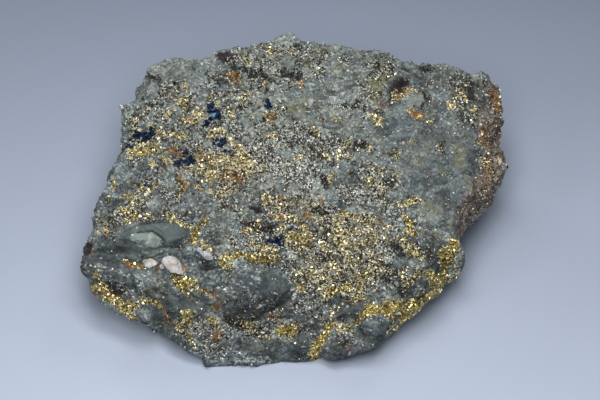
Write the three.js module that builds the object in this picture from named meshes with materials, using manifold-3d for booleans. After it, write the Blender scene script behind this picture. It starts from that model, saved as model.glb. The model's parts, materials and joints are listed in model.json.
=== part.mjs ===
// A hand specimen of chalcopyrite ore: one broken slab of green-grey chlorite schist, about
// 120 mm across, 95 mm deep and 40 mm high, that lies on a flat cleaved underside.
//
// Millimetres, +Z up. The origin is on the table, under the middle of the specimen's box.
// -Y is the broken front face, where the schist's beds show as ledges.
//
// The slab is lofted through four closed outlines, one above the other:
//   crown  the middle of the top face
//   brow   where the top face breaks over into the sides
//   girth  the widest line of the sides
//   foot   the edge of the underside
// Flat fractures then trim it. Its nodules, quartz shards, beds and crystals are joined to it,
// and its hollow and cracks are cut from it.
import * as THREE from "three";
import { ImprovedNoise } from "three/addons/math/ImprovedNoise.js";
import { mergeVertices } from "three/addons/utils/BufferGeometryUtils.js";
import Module from "manifold-3d";

const { PI, abs, acos, atan2, cos, floor, hypot, max, round, sin } = Math;
const { clamp, lerp, seededRandom, smoothstep } = THREE.MathUtils;
const DEGREE = PI / 180;

// ---- Driving dimensions -------------------------------------------------------------------

// Where the top face ends, as [x, y]. Its height there is topHeight's.
const BROW = [
  [56, 34], [55, 26], [54, 18], [51, 9], [50, 1], [49, -5], [46, -10], [43, -17],
  [40, -23], [35, -28], [28, -32], [20, -34], [10, -34], [0, -30], [-12, -26], [-23, -25],
  [-34, -23], [-45, -21], [-53, -19], [-57, -14], [-56, -8], [-53, 0], [-50, 5],
  [-47, 12], [-48, 19], [-50, 23], [-44, 25], [-43, 30], [-41, 36], [-35, 38], [-26, 37],
  [-20, 40], [-11, 42], [-7, 44], [-3, 46], [5, 43], [15, 41], [24, 40], [30, 37.5],
  [34, 36], [45, 37], [52, 37],
];

// The widest line of the sides, as [x, y, z].
const GIRTH = [
  [60, 36, 28], [61, 30, 27], [61, 24, 26], [58, 20, 25], [59, 14, 24], [62, 9, 23],
  [59, 3, 22], [56, -2, 21], [51, -6, 21], [48, -9, 21], [46, -13, 20], [46, -20, 17],
  [44, -26, 15], [37, -32, 13], [31, -37, 11], [25, -42, 9], [20, -44, 7], [13, -44, 5],
  [5, -43, 3], [-4, -44, 2], [-14, -44, 2], [-25, -46, 2], [-28, -43, 3], [-39, -37, 8],
  [-47, -33, 11], [-57, -28, 13], [-57, -26, 15], [-61, -23, 16], [-61, -20, 18],
  [-59, -15, 20], [-57, -8, 21], [-54, 0, 22], [-51, 6, 23], [-49, 13, 24], [-50, 20, 25],
  [-51, 25, 26], [-46, 28, 27], [-45, 36, 26], [-38, 42, 25], [-27, 41, 25],
  [-19, 43, 26], [-8, 45, 26], [-2, 47, 25], [9, 45, 26], [18, 43, 27], [32, 39, 25],
  [46, 40, 26],
];

// The edge of the underside, as [x, y].
const FOOT = [
  [34, 2], [30, 20], [12, 30], [-12, 27], [-30, 14], [-36, -6], [-33, -26], [-26, -42],
  [-8, -42], [12, -39], [24, -26],
];

// The top face: its height in the middle, how it leans down towards the front, how it falls
// away to both sides, and how it falls away again in front of FRONT_LINE.
const CROWN_HEIGHT = 30;
const TOP_LEAN = 0.2;
const SIDE_FALL = 0.0012;
const FRONT_FALL = 0.006;
const FRONT_LINE = -5;

// Relief on the broken surface: how high its swells and its lumps stand, and how wide they are.
const SWELL = { height: 1.7, size: 24 };
const LUMP = { height: 2, size: 8 };
const CALM_HEIGHT = 4; // below this the relief dies away towards the underside

// The schist's beds, where the sides break across them.
const BED_PITCH = 5.5;
const BED_DIP = 0.08; // how steeply they rise towards -X
const BED_WAVE = { height: 0.5, size: 40 }; // how they bend, as a share of the pitch
const BED_JUT = { height: 3.6, size: 22 }; // how far one bed's edge stands out past the next's
const STEEP = [0.35, 0.8]; // beds show where the normal's Z is under the first, and fade out

// Flat fractures that trim the slab, each as [bearing, pitch, distance]: the way that it
// faces, in degrees round from +X and up from level, and how far it lies from FRACTURE_CENTRE.
const FRACTURE_CENTRE = [0, 0, 18];
const FRACTURES = [
  [162, -12, 51], [238, -38, 49.5], [305, -34, 47], [335, -20, 50.5], [128, -16, 51],
  [78, -14, 43.5], [100, -42, 34.5], [20, -40, 46], [200, -48, 46],
];

// The dark plate beside the pale nodule, as [x, y] about its middle.
const PLATE_OUTLINE = [
  [-5, 2.6], [3, 2.8], [4.8, 1], [5, -2.6], [0.2, -3.6], [-2.4, -0.6], [-5.6, 0.8],
];

const CRYSTAL_SIZE = [2, 3]; // least and greatest length of the crystals that stand out
const CRYSTAL_LIFT = 0.25; // how far a crystal is lifted out of the slab, as a share of its size

// ---- Relief -------------------------------------------------------------------------------

const NOISE_SHIFT = 17; // keeps the two octaves, and one bed and the next, from lining up
const perlin = new ImprovedNoise();

// Noise in two octaves, from about -1 to 1, whose broadest swells are `size` across.
function noise({ x, y, z }, size) {
  const broad = perlin.noise(x / size, y / size, z / size);
  const fine = perlin.noise((2 * x) / size + NOISE_SHIFT, (2 * y) / size, (2 * z) / size);
  return broad + fine / 2;
}

function topHeight(x, y) {
  const inFront = max(0, FRONT_LINE - y);
  return CROWN_HEIGHT + TOP_LEAN * y - SIDE_FALL * x * x - FRONT_FALL * inFront * inFront;
}

// How far the broken side stands out of the loft at p. Each bed's edge wanders on its own.
function bedRelief(p) {
  const wave = BED_WAVE.height * noise(p, BED_WAVE.size);
  const bed = floor((p.z + BED_DIP * p.x) / BED_PITCH + wave);
  return BED_JUT.height * noise({ x: p.x, y: p.y, z: NOISE_SHIFT * bed }, BED_JUT.size);
}

// How far the surface stands out of the loft at p, where n is its normal.
function relief(p, n) {
  const side = 1 - smoothstep(abs(n.z), ...STEEP);
  const swell = SWELL.height * noise(p, SWELL.size);
  const lump = LUMP.height * noise(p, LUMP.size);
  return smoothstep(p.z, 0, CALM_HEIGHT) * (swell + lump + side * bedRelief(p));
}

// ---- Geometry helpers ---------------------------------------------------------------------

// A geometry's shared vertices, with position alone.
function welded(geometry) {
  geometry.deleteAttribute("normal");
  geometry.deleteAttribute("uv");
  return mergeVertices(geometry, 1e-4);
}

// Moves every vertex of a geometry as `move` moves the point that it is given.
function reshaped(geometry, move) {
  const position = geometry.getAttribute("position");
  const p = new THREE.Vector3();
  for (let i = 0; i < position.count; i++) {
    move(p.fromBufferAttribute(position, i), i);
    position.setXYZ(i, p.x, p.y, p.z);
  }
  return geometry;
}

const wasm = await Module();
wasm.setup();

function solid(geometry) {
  return new wasm.Manifold(
    new wasm.Mesh({
      numProp: 3,
      vertProperties: geometry.getAttribute("position").array,
      triVerts: new Uint32Array(geometry.index.array),
    }),
  );
}

function geometryOf(manifold) {
  const { vertProperties, triVerts } = manifold.getMesh();
  const geometry = new THREE.BufferGeometry();
  geometry.setAttribute("position", new THREE.BufferAttribute(vertProperties, 3));
  geometry.setIndex(new THREE.BufferAttribute(triVerts, 1));
  return geometry;
}

// The largest piece of a solid, without the crumbs and sealed bubbles that joins can leave.
function largestPiece(whole) {
  return whole.decompose().reduce((a, b) => (a.volume() > b.volume() ? a : b));
}

// ---- Slab ---------------------------------------------------------------------------------

const MESH_DETAIL = 14; // the slab has 20 * (MESH_DETAIL + 1)^2 triangles
const TOP_WEIGHT = 1; // how densely each band is meshed: the top face,
const BROW_WEIGHT = 1.4; // brow to girth,
const SIDE_WEIGHT = 0.9; // girth to foot,
const BASE_WEIGHT = 0.4; // and the underside
const FOOT_DEPTH = -0.8; // the loft goes this far under the table, and is cut off level
const UNDERCUT = 2.1; // over 1, the sides drop from the girth before they curl under

// A closed outline, read as { radius, height } at any bearing from the Z axis.
function outline(points) {
  const knots = points
    .map(([x, y, height = 0]) => ({ bearing: atan2(y, x), radius: hypot(x, y), height }))
    .sort((a, b) => a.bearing - b.bearing);
  const turned = (knot, angle) => ({ ...knot, bearing: knot.bearing + angle });
  const loop = [turned(knots.at(-1), -2 * PI), ...knots, turned(knots[0], 2 * PI)];
  return (bearing) => {
    const next = loop.findIndex((knot) => knot.bearing > bearing);
    const [a, b] = [loop[next - 1], loop[next]];
    const t = (bearing - a.bearing) / (b.bearing - a.bearing);
    return { radius: lerp(a.radius, b.radius, t), height: lerp(a.height, b.height, t) };
  };
}

const browAt = outline(BROW);
const girthAt = outline(GIRTH);
const footAt = outline(FOOT);

// The slab's point for a direction from the middle of a unit sphere, whose polar angle is
// shared out among the four bands by their lengths and weights.
function loftedPoint({ x, y, z }) {
  const bearing = atan2(y, x);
  const polar = acos(clamp(z, -1, 1));
  const brow = browAt(bearing);
  const girth = girthAt(bearing);
  const foot = footAt(bearing);
  const at = (radius, height) =>
    new THREE.Vector3(radius * cos(bearing), radius * sin(bearing), height);
  const onTop = (radius) => {
    const point = at(radius, 0);
    return point.setZ(topHeight(point.x, point.y));
  };
  const browPoint = onTop(brow.radius);

  const top = TOP_WEIGHT * brow.radius;
  const shoulder = BROW_WEIGHT * hypot(girth.radius - brow.radius, browPoint.z - girth.height);
  const side = SIDE_WEIGHT * hypot(foot.radius - girth.radius, girth.height);
  const base = BASE_WEIGHT * foot.radius;
  const perLength = PI / (top + shoulder + side + base);
  const browEnd = top * perLength;
  const girthEnd = browEnd + shoulder * perLength;
  const footEnd = girthEnd + side * perLength;

  if (polar <= browEnd) {
    return onTop((brow.radius * sin(polar / 2)) / sin(browEnd / 2));
  }
  if (polar <= girthEnd) {
    const t = (polar - browEnd) / (girthEnd - browEnd);
    return at(lerp(brow.radius, girth.radius, t), lerp(browPoint.z, girth.height, t));
  }
  if (polar <= footEnd) {
    const t = (polar - girthEnd) / (footEnd - girthEnd);
    const radius = lerp(girth.radius, foot.radius, t ** UNDERCUT);
    return at(radius, lerp(girth.height, FOOT_DEPTH, t));
  }
  return at((foot.radius * sin((PI - polar) / 2)) / sin((PI - footEnd) / 2), FOOT_DEPTH);
}

function slabGeometry() {
  const sphere = welded(new THREE.IcosahedronGeometry(1, MESH_DETAIL));
  const loft = reshaped(sphere, (p) => p.copy(loftedPoint(p)));
  loft.computeVertexNormals();
  const normal = loft.getAttribute("normal");
  const n = new THREE.Vector3();
  return reshaped(loft, (p, i) => {
    n.fromBufferAttribute(normal, i);
    p.addScaledVector(n, relief(p, n));
  });
}

const BEYOND = 200; // side of the blocks that are cut away, longer than the slab is

// The block of stone that broke away along one flat fracture.
function brokenAway([bearing, pitch, distance]) {
  const geometry = welded(new THREE.BoxGeometry(BEYOND, BEYOND, BEYOND));
  geometry.translate(distance + BEYOND / 2, 0, 0);
  geometry.rotateY(-pitch * DEGREE).rotateZ(bearing * DEGREE).translate(...FRACTURE_CENTRE);
  return solid(geometry);
}

// All that is below the table's top.
function table() {
  const geometry = welded(new THREE.BoxGeometry(BEYOND, BEYOND, BEYOND));
  return solid(geometry.translate(0, 0, -BEYOND / 2));
}

const slab = FRACTURES.map(brokenAway).reduce(
  (whole, block) => whole.subtract(block),
  solid(slabGeometry()).subtract(table()),
);

// ---- Seats on the slab --------------------------------------------------------------------

const Z_AXIS = new THREE.Vector3(0, 0, 1);
const DOWN = new THREE.Vector3(0, 0, -1);
const RAY_START = 100; // height that the seat rays come down from
const SEAT_REACH = 3; // the seat's normal is the mean over this distance around it

const slabMesh = new THREE.Mesh(geometryOf(slab));
const ray = new THREE.Raycaster();

// The slab's upper side at [x, y]: the point there and the mean normal around it.
function seatAt([x, y]) {
  const reach = [[0, 0], [SEAT_REACH, 0], [-SEAT_REACH, 0], [0, SEAT_REACH], [0, -SEAT_REACH]];
  const hits = reach.flatMap(([dx, dy]) => {
    ray.set(new THREE.Vector3(x + dx, y + dy, RAY_START), DOWN);
    return ray.intersectObject(slabMesh).slice(0, 1);
  });
  const normal = new THREE.Vector3();
  for (const hit of hits) normal.add(hit.face.normal);
  return { point: hits[0].point, normal: normal.normalize() };
}

// A body seated on the slab at [x, y]: its own Z along the slab's normal, turned about that by
// `turn` degrees, and lifted out of the surface by `lift`.
function seated(geometry, at, turn = 0, lift = 0) {
  const { point, normal } = seatAt(at);
  point.addScaledVector(normal, lift);
  geometry.rotateZ(turn * DEGREE);
  geometry.applyQuaternion(new THREE.Quaternion().setFromUnitVectors(Z_AXIS, normal));
  return solid(geometry.translate(point.x, point.y, point.z));
}

// ---- Bodies -------------------------------------------------------------------------------

const NODULE_PINCH = 1.6; // how fast a nodule thins towards its two ends
const NODULE_LUMPS = { height: 0.24, size: 0.5 }; // how unevenly it is rounded

// A lens-shaped nodule, as rolled out in the schist, long in X.
function nodule([length, width, height], seed) {
  const geometry = welded(new THREE.IcosahedronGeometry(0.5, 2));
  return reshaped(geometry, (p) => {
    const pinch = 1 - NODULE_PINCH * p.x * p.x;
    const lump = noise({ x: p.x + seed, y: p.y, z: p.z }, NODULE_LUMPS.size);
    p.multiplyScalar(1 + NODULE_LUMPS.height * lump);
    p.set(p.x * length, p.y * width * pinch, p.z * height * pinch);
  });
}

const SHARD_SKEW = { height: 0.45, step: 1.7 }; // how unevenly a shard's corners stand out

// An angular shard with flat broken faces.
function shard([length, width, height], seed) {
  const geometry = welded(new THREE.DodecahedronGeometry(0.5, 0));
  return reshaped(geometry, (p, corner) => {
    p.multiplyScalar(1 + SHARD_SKEW.height * perlin.noise(seed, SHARD_SKEW.step * corner, 0.5));
    p.set(p.x * length, p.y * width, p.z * height);
  });
}

const shapeOf = (points) => new THREE.Shape(points.map(([x, y]) => new THREE.Vector2(x, y)));

// A flat plate whose outline is given in [x, y], from z 0 down.
function plate(points, thickness) {
  const settings = { depth: thickness, bevelEnabled: false };
  const geometry = welded(new THREE.ExtrudeGeometry(shapeOf(points), settings));
  return geometry.translate(0, 0, -thickness);
}

const RAGGED_STEP = 2.4; // spacing of the points along a ragged outline
const RAGGED_DEPTH = 1.6; // how far they wander off it
const RAGGED_SIZE = 3; // how long one wander is

// The same outline, broken off raggedly.
function ragged(points) {
  const shape = shapeOf(points);
  shape.closePath();
  const spaced = shape.getSpacedPoints(round(shape.getLength() / RAGGED_STEP)).slice(1);
  const wander = ({ x, y }, shift) =>
    RAGGED_DEPTH * noise({ x, y, z: shift }, RAGGED_SIZE);
  return spaced.map((p) => [p.x + wander(p, 0), p.y + wander(p, NOISE_SHIFT)]);
}

// A bed of the schist that stands out at the foot of the front face, lying level, its top at z.
function bed(points, z, thickness) {
  return solid(plate(ragged(points), thickness).translate(0, 0, z));
}

// A crack to cut: pointed at both ends in X, and V-shaped down to `depth`.
function crack(length, width, depth) {
  return welded(new THREE.OctahedronGeometry(1)).scale(length / 2, width / 2, depth);
}

const CRYSTAL_RADIUS = 0.62; // from middle to corner, for an edge of 1 mm
const CORNER_CUT = 1.75; // size of the sphenoid that cuts the corners, against the other's

// A chalcopyrite crystal, 1 mm long: a four-faced sphenoid whose corners are cut off by the
// faces of a second one, a quarter turn from it.
function crystalGeometry() {
  const sphenoid = welded(new THREE.TetrahedronGeometry(CRYSTAL_RADIUS));
  const turned = sphenoid.clone().rotateZ(PI / 2).scale(CORNER_CUT, CORNER_CUT, CORNER_CUT);
  return geometryOf(solid(sphenoid).intersect(solid(turned)));
}

const crystal = crystalGeometry();

// Crystals grown over a patch of the slab, crowded towards its middle.
function cluster([x, y], [reachX, reachY], count, seed) {
  seededRandom(seed);
  return Array.from({ length: count }, () => {
    const bearing = 2 * PI * seededRandom();
    const spread = seededRandom();
    const at = [x + reachX * spread * cos(bearing), y + reachY * spread * sin(bearing)];
    const size = lerp(...CRYSTAL_SIZE, seededRandom());
    const grain = crystal.clone().scale(size, size, size);
    grain.rotateX(2 * PI * seededRandom()).rotateY(2 * PI * seededRandom());
    return seated(grain, at, 360 * seededRandom(), CRYSTAL_LIFT * size);
  });
}

// ---- Specimen -----------------------------------------------------------------------------

const additions = [
  // Front left: the pale nodule, the dark plate beside it, and the ledges below them.
  seated(nodule([14, 8, 6], 1), [-41.5, -18.6], -4, 0.4),
  seated(plate(PLATE_OUTLINE, 3), [-35, -16.8], -6, 0.9),
  seated(nodule([32, 9, 8], 2), [-44.3, -26.8], -17, 0.2),
  seated(nodule([20, 6, 6], 3), [-42.5, -33.2], -30),
  // Quartz: three shards in a row above the ledge.
  seated(shard([4, 3.4, 3.4], 4), [-39, -24.6], 20, 0.5),
  seated(shard([6.6, 4.6, 4.4], 5), [-33.3, -25.1], -25, 0.8),
  seated(shard([6, 3, 3.4], 6), [-24.7, -23.8], -35, 0.6),
  // Front face: the dark lens, the big block and its neighbour.
  seated(nodule([12, 5, 3.4], 7), [-29.7, -34.3], -8, 0.3),
  seated(shard([20, 14, 8], 8), [-9, -31.5], 8),
  seated(shard([17, 9, 6], 9), [-22, -31], -14, 0.2),
  // Front right: a small block, a round nodule and a lens.
  seated(shard([8, 4.5, 4], 10), [16.3, -37], -4, 0.3),
  seated(nodule([10, 9, 7], 11), [22.8, -39.2], 25, 0.5),
  seated(nodule([8, 5, 4], 12), [35, -30.2], 30, 0.3),
  // Back: two purple-brown lumps.
  seated(shard([9, 5, 3.6], 16), [-19.6, 38], 10),
  seated(shard([9, 4.6, 3.4], 17), [29.5, 29.5], 55),
  // Foot of the front face: three beds, one above the other.
  bed([[-25, -45.6], [-9, -45.2], [6, -43.8], [14, -42], [8, -36], [-20, -36]], 2.4, 2.4),
  bed([[-26, -44], [-14, -44.6], [-4, -42.6], [-6, -36], [-20, -36]], 5, 1.8),
  bed([[-8, -42], [0, -43.2], [13, -42.6], [10, -34], [-4, -34]], 7.6, 2),
  // Chalcopyrite where it is massive.
  ...cluster([-32, -29.5], [6, 4], 8, 21),
  ...cluster([26, -35.5], [6, 3], 8, 22),
  ...cluster([41, -20.5], [3, 6], 5, 23),
  ...cluster([8, -18], [10, 5], 8, 24),
  ...cluster([-50, -29], [4, 1.5], 4, 25),
  ...cluster([-39, 9], [5, 3], 3, 26),
  ...cluster([9, -38.5], [3, 2], 3, 27),
];

const cuts = [
  // The hollow between the pale nodule and the ledge.
  seated(nodule([17, 5, 8], 31), [-48, -22.4], -12),
  // The gaps round the dark plate.
  seated(crack(8, 1.6, 3), [-32.6, -21], 4),
  seated(crack(6, 0.8, 2), [-39.6, -15.6], -10),
  // Open cracks in the richest part of the top, and across the front face.
  seated(crack(9, 2, 3), [11.5, -30.6], 2),
  seated(crack(8, 1.4, 2.5), [-5.6, -7.8], -30),
  seated(crack(11, 1.8, 2.5), [-9, -11.4], 15),
  seated(crack(7, 2, 2.5), [-10.4, -18.4], 80),
  seated(crack(22, 1.8, 3), [-12, -38], -4),
  seated(crack(14, 1.4, 3), [24, -33.4], 20),
];

const joined = additions.reduce((whole, addition) => whole.add(addition), slab);
const carved = cuts.reduce((whole, cut) => whole.subtract(cut), joined);

const ore = new THREE.Mesh(
  geometryOf(largestPiece(carved.subtract(table()))),
  new THREE.MeshStandardMaterial({ color: 0x6f7b74, roughness: 0.75, metalness: 0.1 }),
);
ore.name = "ore_slab";

const specimen = new THREE.Group();
specimen.add(ore);

const middle = new THREE.Box3().setFromObject(specimen).getCenter(new THREE.Vector3());
specimen.position.set(-middle.x, -middle.y, 0);

export default specimen;
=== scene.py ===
"""A hand specimen of chalcopyrite ore: a broken slab of green-grey chlorite schist, with brassy
grains, veins and patches of chalcopyrite, some of them tarnished blue, and a rusty right edge.

Lengths are in millimetres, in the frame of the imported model, until a mesh is made.
"""
import json
import math

import bpy
import numpy as np
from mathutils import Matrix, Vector, noise

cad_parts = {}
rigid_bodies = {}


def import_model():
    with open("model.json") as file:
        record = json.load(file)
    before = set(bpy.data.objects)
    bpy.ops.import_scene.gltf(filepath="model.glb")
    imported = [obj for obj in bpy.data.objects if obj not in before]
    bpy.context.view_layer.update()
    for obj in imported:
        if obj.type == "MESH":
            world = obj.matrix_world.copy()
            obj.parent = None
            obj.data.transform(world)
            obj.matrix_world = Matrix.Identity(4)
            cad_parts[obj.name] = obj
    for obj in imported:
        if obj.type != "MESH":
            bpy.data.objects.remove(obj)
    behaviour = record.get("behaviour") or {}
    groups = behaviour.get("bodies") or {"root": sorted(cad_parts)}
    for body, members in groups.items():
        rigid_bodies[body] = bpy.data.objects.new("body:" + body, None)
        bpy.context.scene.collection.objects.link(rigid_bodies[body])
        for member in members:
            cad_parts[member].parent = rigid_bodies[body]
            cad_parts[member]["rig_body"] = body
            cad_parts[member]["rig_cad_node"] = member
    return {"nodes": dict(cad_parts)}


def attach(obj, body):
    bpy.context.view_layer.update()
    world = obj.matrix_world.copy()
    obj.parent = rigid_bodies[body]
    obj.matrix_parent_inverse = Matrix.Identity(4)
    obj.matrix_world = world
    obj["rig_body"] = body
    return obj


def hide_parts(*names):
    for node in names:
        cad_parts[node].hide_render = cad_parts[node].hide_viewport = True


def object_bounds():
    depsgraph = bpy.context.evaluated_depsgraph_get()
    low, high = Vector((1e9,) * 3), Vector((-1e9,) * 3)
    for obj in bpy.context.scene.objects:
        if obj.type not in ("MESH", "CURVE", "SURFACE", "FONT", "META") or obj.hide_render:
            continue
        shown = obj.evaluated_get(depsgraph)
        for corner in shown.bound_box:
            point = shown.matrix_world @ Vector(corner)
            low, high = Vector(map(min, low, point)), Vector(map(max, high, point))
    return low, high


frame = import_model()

CAD_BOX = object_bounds()
MM = 0.001
RANDOM = np.random.default_rng(7)

# ---- Driving dimensions -------------------------------------------------------------------

VOXEL = 0.42                  # side of the voxels that the rock's surface is rebuilt from
ROCK_TRIANGLES = 190_000
LUMP = 4.4                    # width of the lumps that the schist is broken into
REST_FADE = (0.2, 1.5)        # the relief fades out toward the floor between these heights
BLUNT_END = 59.8              # how far right the rock's edge runs before it is blunted
BLUNTING = 0.3                # the share of what runs farther that is drawn back
STREAK_TURN = 14              # degrees that the streaks of the schist are turned
QUARTZ_FACES = 11             # flat faces that each piece of quartz is broken into
QUARTZ_CUTS = (0.18, 0.3)     # how far from the middle of a ball 1 wide the faces lie
QUARTZ_GROWTH = (1.5, 1.5, 1.35)    # makes up for what the faces cut off
SEAT_REACH = 0.6              # how far round its place a piece of quartz finds its seat
NOISE_GAIN = 1.6              # brings the noise to run from about -1 to 1
MID_GREY = (0.5, 0.5, 0.5)    # the mean of a random colour

# Where the broken edge is brought out or in: a place seen from above, how far the change
# reaches round it, and how far it moves to the right and to the back.
EDGE = [
    # The back and the right.
    (-36, 37, 7, 0, 1.2), (-22, 40, 8, 0, 1.4), (-11, 42, 6, 0, 1.4), (-4, 45, 5, 0, 1.3),
    (8, 42, 9, 0, 1.9), (10.6, 44, 5, 0, 0.8), (45, 37, 4, 0, 1.1), (24, 39, 8, 0, 1.2),
    (36, 37, 10, 0, 2), (52, 35, 5, 0, -1.8), (58, 31, 5, -0.6, -0.4), (59, 21, 6, 0.6, 0),
    (59, 12, 5, 1, 0),
    # The left.
    (-45, 35, 6, -1.2, 0.4), (-49, 25, 6, -0.4, 1.2), (-47.6, 26, 4, 0, 1.2), (-50, 15, 5, 0.6, 0),
    (-53, 5, 4, -0.9, 0), (-54, -1, 4, 1.1, 0), (-58, -8, 5, -0.9, 0), (-60, -19, 4, -0.7, 0),
    (-57, -27, 7, -1.6, 0),
    # The front.
    (-42.5, -36, 5, 0, -1.8), (-35.5, -41.4, 5, 0.2, 0.8), (4, -46, 8, 0, 1.3), (15, -47, 7, -0.4, 1.2),
    (26, -43, 5, 0, 0.9), (40, -31, 11, -1.2, 1.5), (35, -35, 5, 0.3, -1), (43.4, -26.6, 5, -0.7, 0.7),
    (47.6, -21, 4, 0.6, 0),
]

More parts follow.
